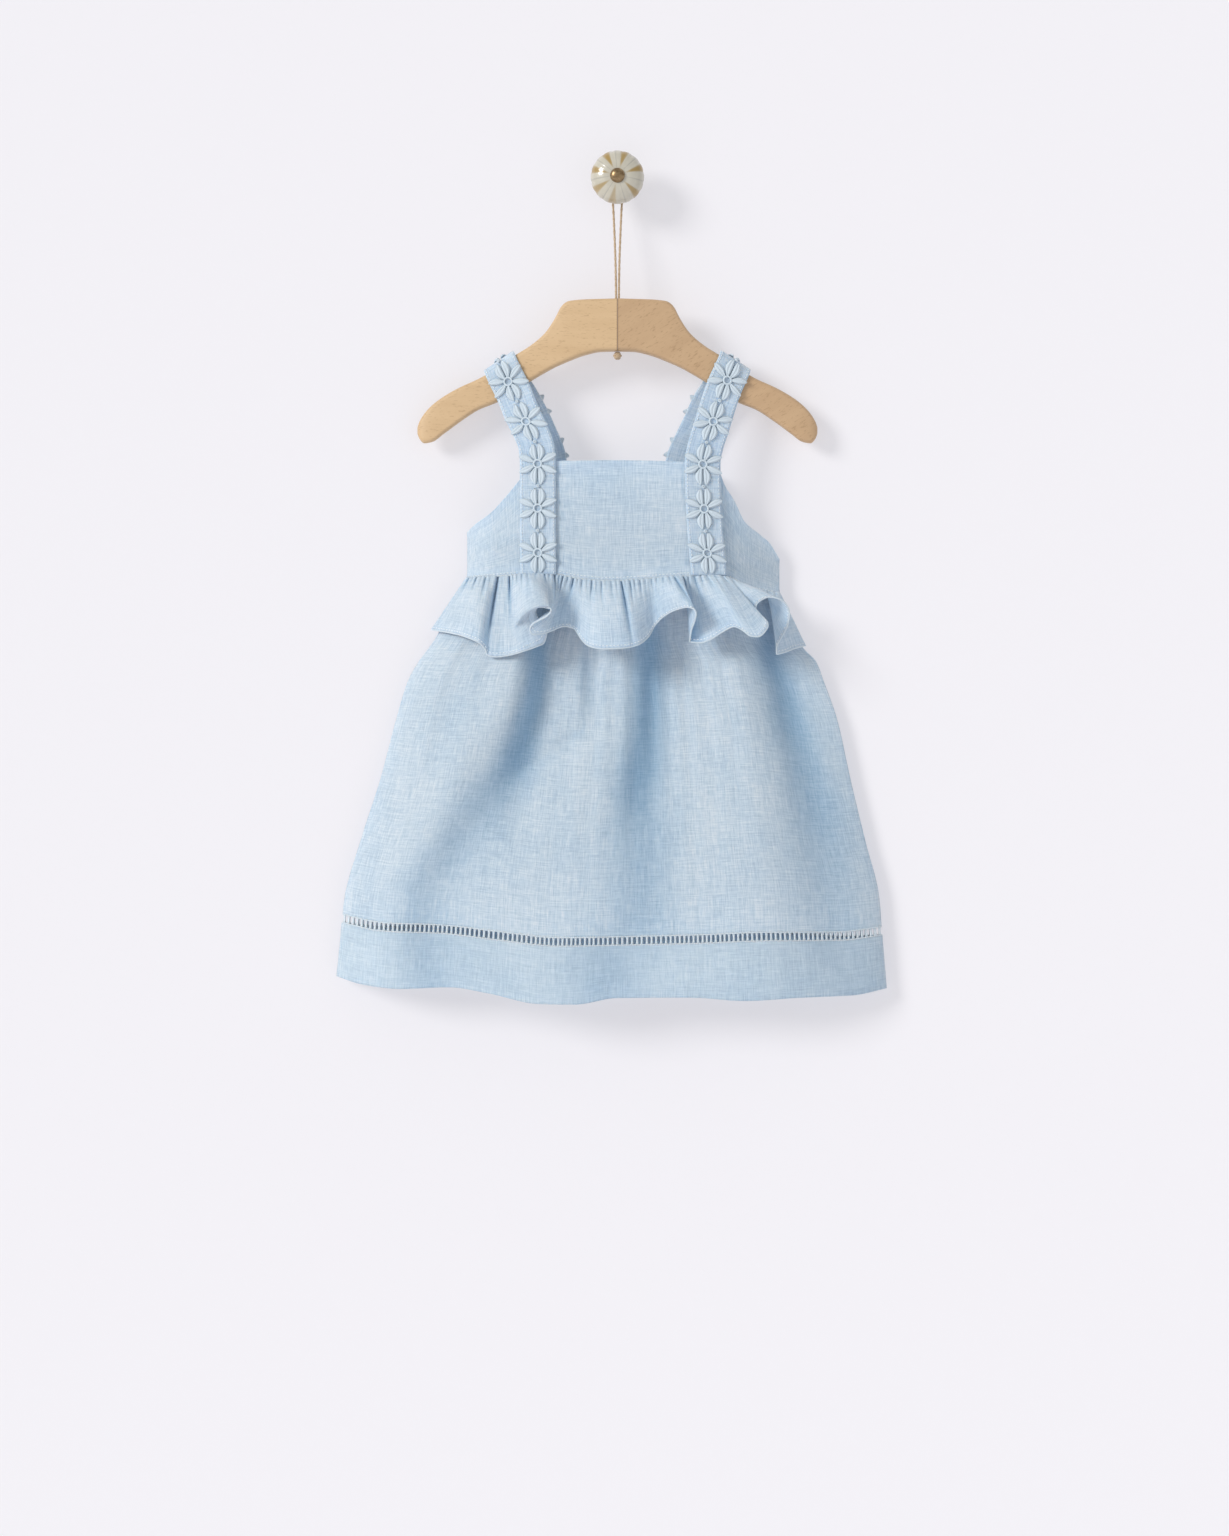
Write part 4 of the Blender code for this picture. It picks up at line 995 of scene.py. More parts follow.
# THE RUFFLE
# A strip of linen about 62 mm deep, gathered twice as long as the waist and sewn into its seam, with a
# narrow rolled hem. It falls in loose waves, and one wave on the left rolls over on itself.
RUFFLE_COLUMNS = 520
RUFFLE_ROWS = 48
RUFFLE_CUT = (0.560, 0.062)
RUFFLE_BACK_CUT = (0.40, 0.052)
RUFFLE_OUT = 1.0
BACK_SEAM = (-111.8, 120.6)
BACK_HEM = (-139.0, 140.4)
BACK_LOW = -349.0
BACK_RISE = 12.0
BACK_SAG = 8.0
BACK_WAVE = 2.5
TURN_SHARE = 4 / 7
SEAM_DENSITY = 1.6
ROLL_DENSITY = 1.6
LIP_LIFT = 5.5
# Painted shade: stretches of the seam, with the share of the ruffle's painted shade kept there, lower in the
# roll and the wave beside it.
ROLL_SHADE_SHARES = ((-80, -48, 0.15), (12, 34, 0.45))
RUFFLE_FRONT = table(
    "seam across height out",
    (-112.5, -139.8, -337, 13), (-110, -132, -338.5, 20), (-105, -121, -340.8, 29),
    (-100, -109.7, -344.5, 39), (-95, -102.3, -348.2, 43), (-92, -98.2, -353, 42),
    (-89.5, -96.6, -356.8, 39.5), (-86, -89.7, -358.2, 40), (-81.5, -80, -357, 43),
    (-76.5, -69.6, -354.1, 46), (-71.5, -61.4, -351.2, 46), (-67.5, -54.7, -347.8, 44),
    (-64.5, -52.6, -340, 45.5), (-62, -57.2, -332, 48.5), (-59.5, -60.6, -325.4, 52),
    (-57, -59.6, -322, 56), (-54.7, -55.2, -322, 59), (-53.2, -52, -322.8, 60.8),
    (-51.7, -50.2, -322.6, 62.8), (-50.2, -49, -325, 63), (-48.7, -52.4, -328.8, 60),
    (-47.2, -57.8, -331.6, 57), (-45.7, -63.2, -334.8, 55), (-44.2, -64.8, -338.6, 54),
    (-42.7, -62.2, -342, 53), (-40.5, -55.4, -341.4, 50), (-37.5, -48, -338.6, 46),
    (-34.5, -39.8, -335.6, 43), (-30, -32.4, -337.2, 43), (-25, -27.2, -344.6, 47),
    (-19, -21.2, -350.5, 53), (-11.5, -10, -352.8, 58), (-2, 3.4, -352.3, 59), (8.5, 14.5, -350, 57),
    (16.7, 22.7, -343.8, 50), (24, 27.9, -334.8, 45), (31, 34.6, -328.2, 48), (37, 42.8, -324, 56),
    (41.3, 51, -322.2, 64), (44.3, 56.6, -324, 67), (46.5, 58, -327.4, 66), (48, 56.9, -332.6, 60),
    (49.5, 54.7, -339.2, 52), (51, 53.6, -347, 45), (54, 61.4, -347.8, 46), (57.7, 68.8, -345.6, 49),
    (62, 77.8, -340, 53), (66, 86, -336.3, 58), (69.6, 92.6, -339.3, 63), (72.5, 98.6, -343.7, 65),
    (74.8, 103.8, -344.1, 65), (77, 109, -340, 63), (78.5, 111.2, -335.5, 60), (80, 109.7, -331.4, 57),
    (81.5, 105.3, -329.2, 53), (83, 102.3, -325.9, 50), (85.2, 102.7, -320.7, 48),
    (88.2, 106.8, -316.2, 47), (91.2, 112.7, -314, 46), (95.6, 119.4, -315.1, 44),
    (100, 125.4, -319.2, 41), (103.8, 128, -325.9, 37), (106.8, 127.2, -333.3, 33),
    (109.7, 122.6, -343, 31.5), (112.4, 118.8, -351, 31), (114.6, 118.8, -356, 31),
    (116.8, 124.2, -354.8, 28.2), (119, 132, -351.6, 22), (121.4, 141.2, -349, 13.6),
)
ROLL = table(
    "seam crest_across crest_height crest_out under_across under_height under_out",
    (-81.5, -80.6, -332.5, 39.4, -80.3, -344, 41.2), (-76.5, -75.5, -332.5, 47.6, -74, -337, 45),
    (-71.5, -70.3, -327.3, 56, -68.8, -331.5, 48), (-67.5, -64.5, -323.2, 61, -66, -328.4, 50.5),
    (-64.5, -60.8, -321.7, 63, -65.2, -327, 53.5), (-62, -58, -321, 64, -63.6, -325.2, 56.5),
    (-59.5, -55.6, -320.8, 64.6, -60.6, -323.4, 59), (-57, -53.4, -320.9, 64.8, -57, -322, 61.2),
    (-54.7, -51.6, -321.1, 64.6, -53.4, -321.8, 61.6), (-53.2, -50.6, -321.3, 64.3, -51.2, -322.2, 62.8),
)
RUFFLE_TURN = table(
    "seam turn",
    (-112.5, 0.57), (-84, 0.57), (-81.5, 0.6), (-76.5, 0.6), (-71.5, 0.56), (-67.5, 0.54), (-64.5, 0.6),
    (-62, 0.7), (-59.5, 0.79), (-57, 0.86), (-54.7, 0.88), (-53.2, 0.88), (-51.7, 0.86), (-50.2, 0.82),
    (-47.2, 0.72), (-44.2, 0.62), (-41, 0.57), (121.4, 0.57),
)
RUFFLE_BELLY = table(
    "seam belly side",
    (-112.5, 1, 0), (-100, 5, 0), (-88, 1.5, 0), (-76, 5, 0), (-56, 7, 0), (-52, 4, 0), (-49.5, 3, 3),
    (-47, 2, 7), (-44, 2, 8), (-41, 1.5, 4), (-38, 1, 0), (-25, 5, 0), (0, 8, 0), (15, 5, 0), (25, 2, 0),
    (40, 8, 0), (47, 6, 0), (51, 2, 0), (60, 3, 0), (72, 7, 0), (80, 3, 0), (92, 6, 0), (104, 2, 0),
    (121.4, 1, 0),
)
GATHER_CREASES = table(
    "seam depth width length lean",
    (-109.5, 1.6, 1.2, 0.45, 0), (-106.8, 0.9, 0.8, 0.2, 1), (-104, 1.5, 1, 0.35, 1),
    (-100.5, 0.8, 0.8, 0.2, 0), (-97.5, 1.6, 1.2, 0.5, 2), (-94.4, 0.9, 0.8, 0.25, 0),
    (-88.4, 3.2, 1.2, 1.1, 4.5), (-85, 0.9, 0.8, 0.25, 1), (-80.5, 2.6, 1, 0.55, -1),
    (-77.8, 1.2, 0.8, 0.25, 0), (-74.6, 1, 0.9, 0.3, 0), (-71, 1.6, 0.9, 0.4, 1), (-67.6, 2, 0.9, 0.4, -2),
    (-64.6, 1, 0.8, 0.25, 0), (-61.2, 1.8, 1, 0.4, 1), (-57.7, 1.2, 0.8, 0.25, 0), (-54.4, 2.4, 1, 0.5, 0),
    (-51, 1.4, 0.9, 0.3, 1), (-46.4, 3.2, 1.2, 0.8, 3.5), (-42.8, 1.8, 0.9, 0.4, 2),
    (-39.8, 2.2, 1, 0.5, 3), (-36.4, 1.2, 0.8, 0.3, 0), (-32.4, 2.4, 1, 0.5, 3),
    (-29.2, 1.2, 0.8, 0.25, 1), (-26, 1.8, 0.9, 0.35, 1), (-22.6, 1, 0.8, 0.25, 0), (-19, 2, 1, 0.45, 0),
    (-15.6, 1.1, 0.8, 0.25, 0), (-11.9, 1.9, 0.9, 0.4, 0), (-8.6, 1, 0.8, 0.25, 0),
    (-5, 1.6, 0.9, 0.35, -1), (-1.2, 1.1, 0.8, 0.25, 0), (2.6, 3.2, 1.1, 0.8, -3),
    (5.8, 1.2, 0.8, 0.25, 0), (9.2, 2.2, 0.9, 0.45, -1), (12.4, 1.2, 0.8, 0.3, 0),
    (16.4, 1.6, 0.9, 0.35, 0), (20.6, 1, 0.8, 0.25, 0), (25, 1.3, 1, 0.3, -1), (29.2, 1, 0.8, 0.25, -1),
    (33.6, 1.3, 0.9, 0.3, -2), (38, 1.6, 0.9, 0.4, -3), (41.6, 2.8, 1.1, 0.9, -3),
    (44.6, 1.2, 0.8, 0.3, -3), (48.4, 2.6, 1.1, 0.9, -5), (52.4, 1.1, 0.8, 0.3, -2),
    (56.6, 1.8, 1.2, 0.6, -4), (61, 1, 0.9, 0.3, -2), (65.6, 1.3, 1.2, 0.5, -3), (71, 1, 1, 0.3, -2),
    (77, 1.3, 1.2, 0.4, -2), (83.6, 0.9, 1, 0.3, -1), (90, 1.2, 1.2, 0.4, -1), (97, 0.9, 1, 0.3, 0),
    (104, 1.2, 1.2, 0.4, 0), (112, 1, 1, 0.3, 0),
)
GATHER_FADE = np.where(GATHER_CREASES["length"] > 0.7, 1.4, 2.8)


def ruffle_stations(count):
    """Places evenly spaced along the ruffle's hem and its seam together, closer in the roll."""
    fine = np.linspace(0, len(RUFFLE_FRONT["seam"]) - 1, 4000)
    path = smooth_line(list(RUFFLE_FRONT.values()), fine)
    seam = path[:, 0]
    steps = np.linalg.norm(np.diff(path, axis=0), axis=1) + SEAM_DENSITY * np.abs(np.diff(seam))
    rolled = (seam[1:] > ROLL["seam"][1]) & (seam[1:] < ROLL["seam"][-1] + 10)
    travelled = np.concatenate([[0], np.cumsum(np.where(rolled, ROLL_DENSITY * steps, steps))])
    return np.interp(np.linspace(0, travelled[-1], count + 1), travelled, fine)


def ruffle_start(seam):
    """Where the ruffle's cloth leaves the waist seam, just outside the top of the skirt."""
    out = read(FRONT_CROWN, "across", seam, "out")
    before, after = [read(FRONT_CROWN, "across", seam + step, "out") for step in (-1.0, 1.0)]
    slope = (after - before) / 2.0
    length = math.hypot(1.0, slope)
    height = read(WAIST, "across", seam, "height") + 0.3
    return np.array([seam - RUFFLE_OUT * slope / length, out + RUFFLE_OUT / length, height])


def ruffle_thread(seam, end, downs):
    """One thread of the ruffle, from the waist seam to its end on the hem."""
    start = ruffle_start(seam)
    belly, side = [float(read(RUFFLE_BELLY, "seam", seam, c)) for c in ("belly", "side")]
    turn = float(read(RUFFLE_TURN, "seam", seam, "turn"))
    downs = np.where(
        downs < TURN_SHARE, downs / TURN_SHARE * turn, 1 - (1 - downs) / (1 - TURN_SHARE) * (1 - turn)
    )
    middle = start + 0.35 * (end - start) + np.array([0.7 * side, belly, 0])
    lower = start + 0.7 * (end - start) + np.array([side, 0.8 * belly, 0])
    stops = np.stack([start, middle, lower, end])
    thread = np.stack([smooth(np.array([0.0, 0.35, 0.7, 1.0]), stops[:, a], downs) for a in range(3)], 1)
    first, last = ROLL["seam"][0], ROLL["seam"][-1]
    folded = np.clip((seam - first) / 4.0, 0, 1) * np.clip((last + 1.2 - seam) / 1.2, 0, 1)
    if folded > 0:
        bends = [float(read(ROLL, "seam", seam, c)) for c in list(ROLL)[1:]]
        crest, under = np.array(bends[:3])[[0, 2, 1]], np.array(bends[3:])[[0, 2, 1]]
        lift = math.sin(math.pi * np.clip((seam - first) / (last - first), 0, 1))
        rise = start + 0.5 * (crest - start) + np.array([0, belly + 3.0 * lift, LIP_LIFT * lift])
        knots = np.array([0.0, 0.5 * turn, turn, turn + 0.4 * (1 - turn), 1.0])
        stops = np.stack([start, rise, crest, under, end])
        rolled = np.stack([smooth(knots, stops[:, a], downs) for a in range(3)], 1)
        thread = thread + folded * (rolled - thread)
    return thread, downs


def ruffle_front_spots():
    """Corners of the front ruffle, the shade painted into its gather creases, and the share of painted shade
    each column keeps in its dips.
    """
    places = ruffle_stations(RUFFLE_COLUMNS)
    downs = np.linspace(0, 1, RUFFLE_ROWS + 1)
    spots = np.empty((RUFFLE_COLUMNS + 1, RUFFLE_ROWS + 1, 3))
    crease_shade = np.empty(spots.shape[:2])
    shade_share = np.empty(RUFFLE_COLUMNS + 1)
    for column, (seam, across, height, out) in enumerate(smooth_line(list(RUFFLE_FRONT.values()), places)):
        thread, along = ruffle_thread(seam, np.array([across, out, height]), downs)
        wider = GATHER_CREASES["width"] * (0.7 + 1.5 * along[:, None])
        reach = (seam - GATHER_CREASES["seam"] + GATHER_CREASES["lean"] * along[:, None]) / wider
        fades = np.exp(-((along[:, None] / GATHER_CREASES["length"]) ** 2) * GATHER_FADE)
        pinch = np.minimum(1.0, 0.10 + along / 0.07)
        crease = (fades * GATHER_CREASES["depth"] * np.exp(-np.abs(reach) ** 1.4)).sum(axis=1) * pinch
        # Painted shade along the gather creases, and the share of the dip shade that this column keeps.
        crease_shade[column] = np.clip(crease / 2.2, 0, 1)
        shade_share[column] = next((light for first, last, light in ROLL_SHADE_SHARES if first < seam < last), 1.0)
        fine = math.sin(seam * 1.9 + 1.6 * math.sin(seam * 0.23)) * np.exp(-along / 0.16) * pinch
        thread[:, 1] += 2.8 * (1 - along) ** 2 * pinch - 2.0 * crease + 0.7 * fine
        spots[column] = thread
    return spots, crease_shade, shade_share


ruffle_spots, ruffle_crease_shade, ruffle_shade_share = ruffle_front_spots()
# The ruffle's colour gets painted shade in its dips and along its gather creases.
ruffle_hollow_shade = 0.8 * ruffle_shade_share[:, None] * hollow_shade_paint(ruffle_spots, 9, 2.6)
ruffle = cloth_piece(
    "ruffle_front_strip", ruffle_spots, RUFFLE_CUT, thick=1.0, thick_rows=[0.5] * 20 + [0.52, 1.0, 1.0],
    painted_shades=np.maximum(ruffle_hollow_shade, 0.9 * ruffle_crease_shade),
)
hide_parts("ruffle_front")


def smooth_steps(line, count):
    """The same line in evenly counted steps, straight between its points."""
    places = np.linspace(0, len(line) - 1, count)
    return np.stack([np.interp(places, np.arange(len(line)), line[:, a]) for a in range(3)], 1)


def rolled_edge(name, line, radius):
    """A thin roll of cloth along a panel's edge, in paler linen that paints a highlight along it."""
    route = smooth_steps(line, 2 * len(line))
    side, up = line_frames(route, (0.25, 0.35, 0.9))
    edge = piece(name, shaped_grid(round_spots(route, side, up, radius, 8), True, True), highlight_edge_linen)
    return edge


# Painted highlight: this paler linen lines the ruffle's rolled hem and the waist seam's pressed edge.
highlight_edge_linen = linen_finish("rolled_edge_painted_highlight", (0.52, 0.63, 0.72), (0.60, 0.70, 0.78), (0.70, 0.78, 0.84), 0.2)
ruffle_roll = rolled_edge("ruffle_front_rolled_edge", ruffle_spots[:, -1], 0.62)


def ruffle_back(share, down):
    along = 0.5 - 0.5 * np.cos(math.pi * share)
    seam = BACK_SEAM[1] - along * (BACK_SEAM[1] - BACK_SEAM[0])
    across = BACK_HEM[1] - along * (BACK_HEM[1] - BACK_HEM[0])
    top = read(WAIST, "across", np.clip(seam, WAIST["across"][0], WAIST["across"][-1]), "height") + SEAM_GAP
    middle = np.sin(math.pi * along)
    low = BACK_LOW + along * BACK_RISE - BACK_SAG * middle - BACK_WAVE * middle * np.cos(10 * math.pi * along)
    turn = np.exp(-np.minimum(seam - BACK_SEAM[0], BACK_SEAM[1] - seam))
    seam_out = 7.5 + 1.7 * turn + 0.2 * middle * np.sin(60 * math.pi * along) * down * (1 - down) ** 2
    hem_out = 4.4 + 5.8 * turn + 1.0 * middle * np.sin(14 * math.pi * along)
    return seam + down * (across - seam), seam_out + down * (hem_out - seam_out), top + down * (low - top)


back_ruffle = cloth_piece("ruffle_back_strip", grid_of(ruffle_back, 220, 16), RUFFLE_BACK_CUT, thick=0.7)
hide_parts("ruffle_back")


# THE STRAPS
# Each strap is a doubled band of linen, topstitched along both edges. It is sewn flat on the front bodice
# from the waist up, crosses over the hanger and comes down behind the back bodice.
STRAP_WIDTH = 26.8
STRAP_THICK = 1.15
STRAP_LEFT = table(
    "across height out tilt yaw",
    (-59.1, -296.9, 35.6, 0, 5.5), (-59.1, -291, 34.7, 0, 5.5), (-59.3, -268, 34.1, 0, 5.5),
    (-59.3, -242, 34.1, 0, 5.5), (-59.4, -214, 34.1, 1, 5.5), (-60.3, -202, 34.2, 7, 5.5),
    (-65.2, -189, 33.6, 15, 5.5), (-71.8, -175, 31.8, 20, 6), (-77.4, -161, 29.8, 25, 6),
    (-83.6, -148.4, 28.4, 30, 6), (-86.6, -142, 28, 32, 6), (-88.2, -137.8, 25.8, 33, 6),
    (-88.8, -136.2, 20.8, 33, 6), (-88.2, -137.6, 15.8, 33, 6), (-86.6, -142, 13.6, 32, 6),
    (-82.6, -148.4, 13, 30, 6), (-73.4, -161.5, 12, 26, 5), (-60.6, -186, 8.8, 20, 2),
    (-52, -208, 6.8, 12, 0), (-50.2, -226, 6.6, 3, 0), (-50.2, -250, 6.6, 0, 0), (-50.6, -272, 6.6, 0, 0),
    (-51, -294.8, 6.6, 0, 0),
)
STRAP_RIGHT = table(
    "across height out tilt yaw",
    (68.1, -297.4, 36.8, 0, -7.2), (67.7, -291, 35.9, 0, -7.2), (65.6, -268, 35.6, 0, -7),
    (64.2, -242, 35.8, 0, -7), (63.4, -214, 36, -2, -7), (65.4, -202, 35.6, -8, -7),
    (69.4, -189, 34.2, -14, -7), (74.6, -172, 31.8, -20, -6), (80, -156, 29.4, -26, -6),
    (83.8, -147.6, 28.4, -30, -6), (86.6, -141.4, 28, -32, -6), (88, -137.4, 25.8, -33, -6),
    (88.4, -135.8, 20.8, -33, -6), (88, -137.2, 15.8, -33, -6), (86.4, -141.6, 13.6, -32, -6),
    (83.2, -148, 13, -30, -6), (73, -161, 12, -26, -5), (60.6, -186, 8.8, -20, -2),
    (50.6, -208, 6.8, -14, 0), (47.2, -226, 6.6, -4, 0), (46.6, -250, 6.6, 0, 0), (46.6, -272, 6.6, 0, 0),
    (46.6, -294.8, 6.6, 0, 0),
)


def strap_frame(rows):
    """The strap's centre, cross direction and outward direction at any length, and its rows' lengths."""
    counts = np.arange(len(rows["across"]))
    fine = np.linspace(0, counts[-1], 1000)
    line = smooth_line([rows["across"], -rows["out"], rows["height"]], fine)
    tilts, yaws = np.radians(smooth_line([rows["tilt"], rows["yaw"]], fine)).T
    lengths = travelled_along(line)

    def at(length):
        i = int(np.clip(np.searchsorted(lengths, length), 1, len(fine) - 1))
        share = (length - lengths[i - 1]) / (lengths[i] - lengths[i - 1])
        centre = line[i - 1] + share * (line[i] - line[i - 1])
        lo, hi = max(i - 12, 0), min(i + 12, len(fine) - 1)
        ahead = Vector(line[hi] - line[lo]).normalized()
        flat = math.cos(tilts[i])
        cross = Vector((flat, -flat * math.tan(yaws[i]), math.sin(tilts[i]))).normalized()
        return Vector(centre), cross, cross.cross(ahead).normalized()

    return at, np.interp(counts, fine, lengths)


def strap_spots(rows, columns=18, steps=190):
    at, row_lengths = strap_frame(rows)
    spots = np.empty((columns + 1, steps + 1, 3))
    for step in range(steps + 1):
        length = row_lengths[-1] * step / steps
        centre, cross, outward = at(length)
        for column in range(columns + 1):
            aside = STRAP_WIDTH * (column / columns - 0.5)
            edge = abs(2 * column / columns - 1)
            sag = -0.25 * max(0.0, edge - 0.86) / 0.14 + 0.12 * math.sin(length * 0.21 + 3 * column / columns)
            spot = centre + cross * aside + outward * sag
            spots[column, step] = (spot.x, -spot.y, spot.z)
    return spots, row_lengths[-1]


# THE DAISY TRIM
# Thick embroidered daisies in pale thread, eight leaf petals round an open ring, chained by small knots
# and sewn down the middle of each strap. Every petal has raised sides and a groove along it.
DAISY_PITCH = 33.2
DAISY_FIRST = 16.4
DAISIES_A_STRAP = 10
DAISY_LIFT = 0.85
TRIM_BEND_LIFT = 0.7
BACK_SHIFT = 3.5
BACK_ASIDE = 1.9
TRIM_BEND_REACH = 17.0
PETAL_ROWS = 12
PETAL_TOP = 12
PETAL_ROUND = 18
PETAL_HIGH = 1.9
PETAL_SEAT = 0.12
RING_RADIUS = 2.9
RING_THICK = 0.75
KNOT_RING = (0.75, 0.7)
PETALS = table(
    "base_across base_along tip_across tip_along half_wide bow",
    (1.2, 2.4, 2.2, 15.2, 2.75, 1.3), (-1.2, 2.4, -2.2, 15.2, 2.75, -1.3),
    (1.2, -2.4, 2.2, -15.2, 2.75, -1.3), (-1.2, -2.4, -2.2, -15.2, 2.75, 1.3),
    (2.4, 1.1, 14, 6.4, 2.55, -0.4), (-2.4, 1.1, -14, 6.4, 2.55, 0.4), (2.4, -1.1, 14, -6.4, 2.55, 0.4),
    (-2.4, -1.1, -14, -6.4, 2.55, -0.4),
)

guipure, guipure_tree, guipure_shader = finish_named(
    "pale_embroidery_thread", (0.58, 0.70, 0.79), 0.72, {"Sheen Weight": 0.3},
)
on_thread = add_node(guipure_tree, "UVMap", uv_map="UVMap").outputs["UV"]
along_thread = add_mapping(guipure_tree, on_thread, Scale=(1.0, 0.12, 1))
satin = add_node(
    guipure_tree, "TexWave", {"Vector": along_thread, "Scale": 5.2, "Distortion": 1.4, "Detail": 2},
).outputs["Fac"]
satin_tone = add_mix(guipure_tree, satin, (0.55, 0.665, 0.755), (0.72, 0.81, 0.865))
feed(guipure_tree, guipure_shader, {"Base Color": satin_tone})
add_relief(guipure_tree, guipure_shader, satin, 0.45, 0.0004)


def petal_outline(i, scatter):
    """Corners of one petal in the daisy's own (across, along, rise): a flat leaf with two raised sides."""
    p = {name: PETALS[name][i] for name in PETALS}
    base = np.array([p["base_across"], p["base_along"]])
    tip = np.array([p["tip_across"], p["tip_along"]]) * (1 + 0.05 * scatter)
    ahead = (tip - base) / np.linalg.norm(tip - base)
    aside = np.array([ahead[1], -ahead[0]])
    spots = np.empty((PETAL_ROWS + 1, PETAL_ROUND + 1, 3))
    for row in range(PETAL_ROWS + 1):
        run = row / PETAL_ROWS
        middle = base + run * (tip - base) + aside * p["bow"] * math.sin(math.pi * run)
        wide = p["half_wide"] * math.sin(math.pi * (0.03 + 0.94 * run ** 1.12)) ** 0.75 + 0.1
        full = math.sin(math.pi * (0.08 + 0.84 * run)) ** 0.5
        for k in range(PETAL_ROUND + 1):
            if k <= PETAL_TOP:
                t = 1 - 2 * k / PETAL_TOP
                rim = (1 - abs(t) ** 3.2) * (0.74 + 0.36 * math.sin(math.pi * min(1.0, abs(t) / 1.1)) ** 2)
                rise = PETAL_SEAT + PETAL_HIGH * rim * full
            else:
                t, rise = -1 + 2 * (k - PETAL_TOP) / (PETAL_ROUND - PETAL_TOP), 0.0
            spots[row, k] = (*(middle + aside * wide * t), rise)
    return spots


def ring_outline(radius, thick, middle=(0.0, 0.0), steps=20):
    """Corners of a small thread ring, in the daisy's own (across, along, rise)."""
    turns = 2 * math.pi * np.arange(steps + 1)[:, None] / steps
    angles = 2 * math.pi * np.arange(9) / 8
    reach = radius + thick * np.cos(angles)
    rise = thick * (1 + 1.15 * np.sin(angles)) + 0 * turns
    return np.stack([middle[0] + reach * np.cos(turns), middle[1] + reach * np.sin(turns), rise], 2)


def on_strap(outline, at, bend, length):
    """Puts a daisy's corners on its strap."""
    spots = np.empty_like(outline)
    for index in np.ndindex(outline.shape[:2]):
        across, along, rise = outline[index]
        centre, cross, outward = at(length + along)
        lift = DAISY_LIFT + TRIM_BEND_LIFT * math.exp(-(((length + along - bend) / TRIM_BEND_REACH) ** 2))
        spot = centre + cross * across + outward * (lift + rise)
        spots[index] = (spot.x, -spot.y, spot.z)
    return spots


for side_name, rows in (("left", STRAP_LEFT), ("right", STRAP_RIGHT)):
    strap_corners, strap_length = strap_spots(rows)
    strap = cloth_piece(
        "strap_%s_band" % side_name, strap_corners, (STRAP_WIDTH * MM, strap_length * MM), thick=STRAP_THICK,
    )
    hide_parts("strap_" + side_name)

    at, row_lengths = strap_frame(rows)
    bend = row_lengths[int(np.argmax(rows["height"]))]
    trim_shape = bmesh.new()
    for daisy in range(DAISIES_A_STRAP):
        middle = DAISY_FIRST + daisy * DAISY_PITCH
        behind = middle > bend
        middle += BACK_SHIFT if behind else 0.0
        aside = (BACK_ASIDE if side_name == "left" else -BACK_ASIDE) if behind else 0.0
        for i in range(len(PETALS["bow"])):
            scatter = noise.noise((daisy * 3.1, i * 1.7, 0.5 if side_name == "left" else 4.5))
            outline = on_strap(petal_outline(i, scatter) + (aside, 0, 0), at, bend, middle)
            join_into(trim_shape, shaped_grid(outline, True, True))
        ring = ring_outline(RING_RADIUS, RING_THICK) + (aside, 0, 0)
        join_into(trim_shape, shaped_grid(on_strap(ring, at, bend, middle), True))
        if daisy < DAISIES_A_STRAP - 1:
            knot_ring = ring_outline(*KNOT_RING, (0.0, DAISY_PITCH / 2), 10)
            join_into(trim_shape, shaped_grid(on_strap(knot_ring, at, bend, middle), True))
    bmesh.ops.remove_doubles(trim_shape, verts=trim_shape.verts, dist=1e-7)
    bmesh.ops.recalc_face_normals(trim_shape, faces=trim_shape.faces)
    trim = piece("daisy_trim_" + side_name, trim_shape, guipure)
    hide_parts("trim_" + side_name)


# THE STITCHING
# Rows of pale machine stitches, about 2 mm long, hold the waist seam, both edges of each strap and the
# turned hems. Each stitch is a small rounded grain that half sinks into the cloth.
STITCH_LONG = 2.0
STITCH_WIDE = 0.72
STITCH_PITCH = 2.7
STITCH_SINK = 0.1
EDGE_TO_STITCHES = 1.7
BESIDE_STRAPS = ((-200, -73), (-45, 54), (82, 200))

stitch_thread = finish_named("pale_stitching_thread", (0.80, 0.86, 0.895), 0.7, {"Sheen Weight": 0.2})[0]


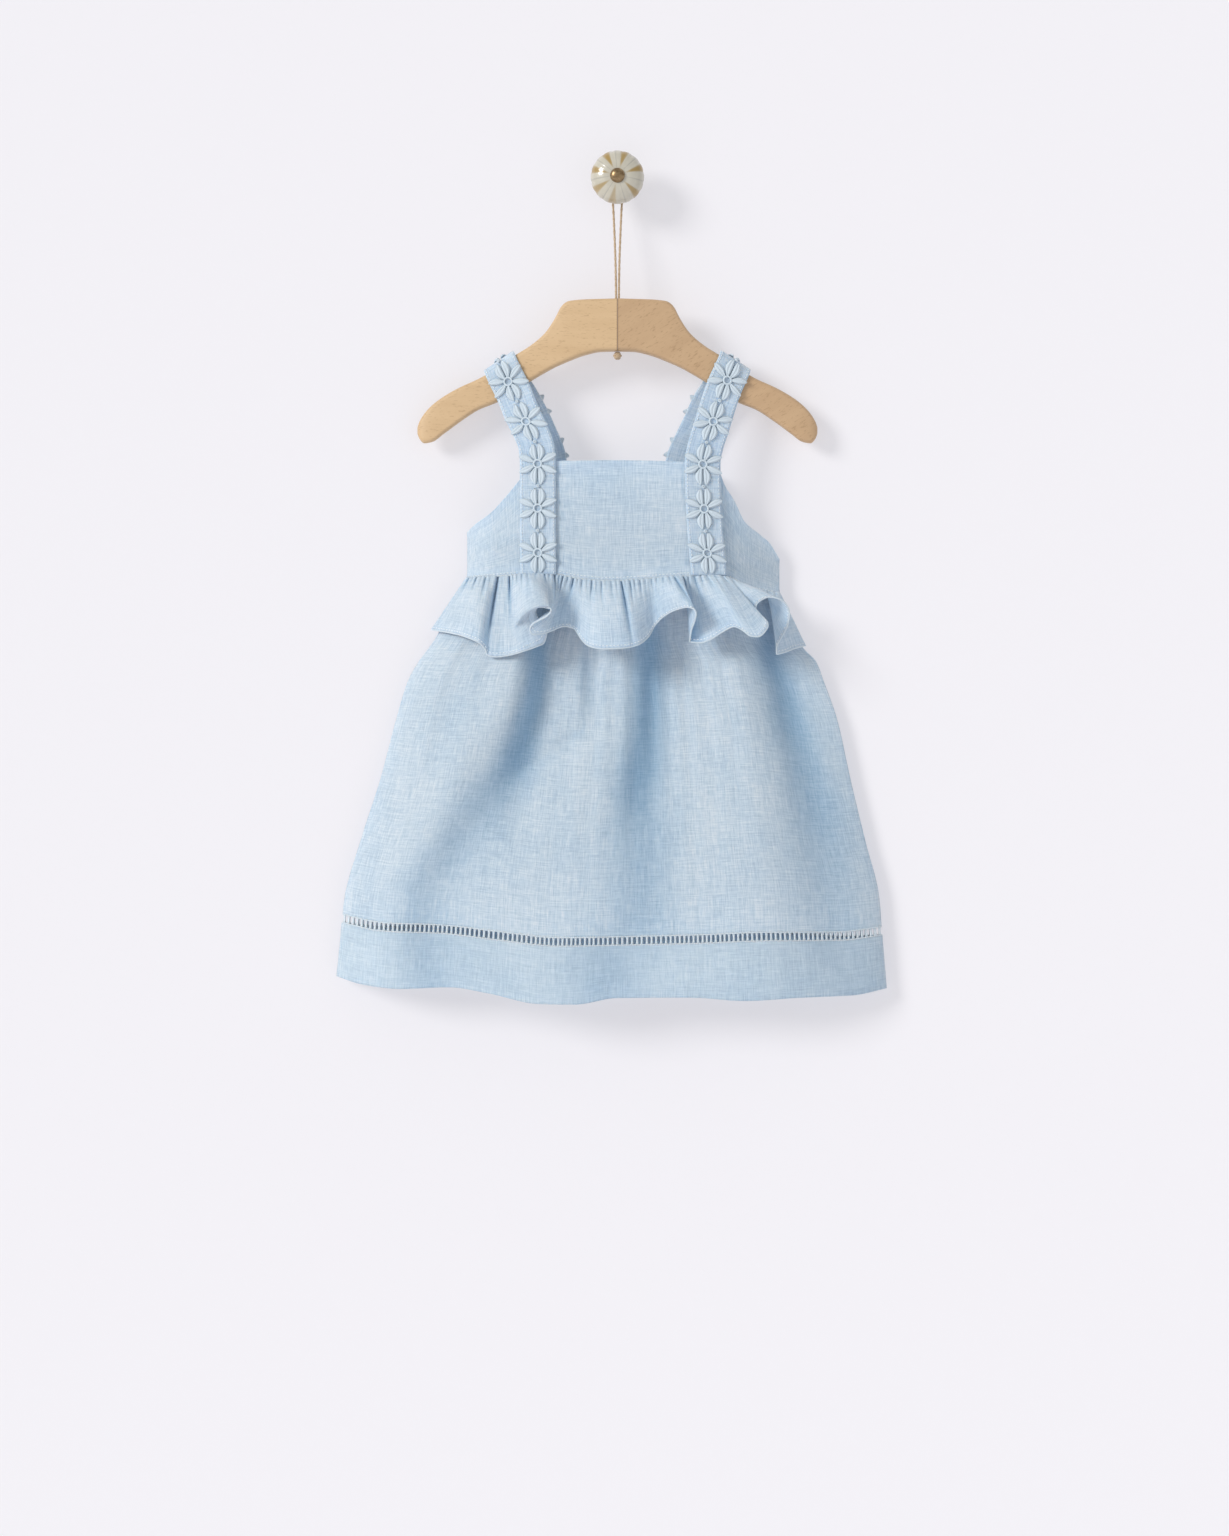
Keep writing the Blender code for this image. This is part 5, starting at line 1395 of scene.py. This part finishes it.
def stitch_row(shape, line, outward):
    """Adds stitches along a line of spots, raised towards outward, given as (across, out, height)."""
    travelled = travelled_along(line)
    for start in np.arange(0.6, travelled[-1] - STITCH_LONG, STITCH_PITCH):
        first, last = [
            np.array([np.interp(place, travelled, line[:, a]) for a in range(3)])
            for place in (start, start + STITCH_LONG)
        ]
        ahead = Vector(last - first).normalized()
        side = ahead.cross(Vector(outward)).normalized()
        up = side.cross(ahead)
        middle = Vector((first + last) / 2) + up * (STITCH_WIDE * 0.4 - STITCH_SINK)
        grain = bmesh.ops.create_icosphere(shape, subdivisions=1, radius=0.5)["verts"]
        for vert in grain:
            spot = middle + ahead * (vert.co.x * STITCH_LONG * 1.05)
            spot += side * (vert.co.y * STITCH_WIDE) + up * (vert.co.z * STITCH_WIDE)
            vert.co = point(*spot)


def panel_line(place, shares, down, lift):
    """Spots along a panel at one share of its length, moved out by lift."""
    spots = np.stack(place(shares, down + 0 * shares), 1)
    spots[:, 1] += lift
    return spots


shares = np.linspace(0.01, 0.99, 240)
waist_line = panel_line(bodice_front, shares, 0.972, 0.42)
waist_shape = bmesh.new()
for left, right in BESIDE_STRAPS:
    between = (waist_line[:, 0] > left) & (waist_line[:, 0] < right)
    stitch_row(waist_shape, waist_line[between], (0, 1, 0))
waist_stitches = piece("waist_seam_stitches", waist_shape, stitch_thread)
seam_line = panel_line(bodice_front, np.linspace(0, 1, 240), 1.0, 0.1)
# The waist seam's pressed edge, in the paler linen that paints a highlight along it.
waist_edge = rolled_edge("waist_seam_pressed_edge", seam_line, 0.7)

hem_shape = bmesh.new()
stitch_row(hem_shape, ruffle_spots[:, -3] + (0, 0.42, 0), (0, 1, 0.1))
ruffle_stitches = piece("ruffle_hem_stitches", hem_shape, stitch_thread)

strap_stitches = []
for side_name, rows in (("left", STRAP_LEFT), ("right", STRAP_RIGHT)):
    at, row_lengths = strap_frame(rows)
    strap_shape = bmesh.new()
    bends = [0.0, row_lengths[9], row_lengths[14], row_lengths[-1]]
    for edge in (-1, 1):
        for first, last in zip(bends, bends[1:]):
            frames = [at(place) for place in np.linspace(first, last, 60)]
            line = np.array([
                centre + cross * (edge * (STRAP_WIDTH / 2 - EDGE_TO_STITCHES)) + outward * (STRAP_THICK / 2)
                for centre, cross, outward in frames
            ]) * (1, -1, 1)
            outward = frames[len(frames) // 2][2]
            stitch_row(strap_shape, line, (outward.x, -outward.y, outward.z))
    stitches = piece("strap_%s_stitches" % side_name, strap_shape, stitch_thread)
    strap_stitches.append(stitches)


for side_name, rows, stitches in zip(("left", "right"), (STRAP_LEFT, STRAP_RIGHT), strap_stitches):
    strap_length = float(strap_frame(rows)[1][-1]) * MM
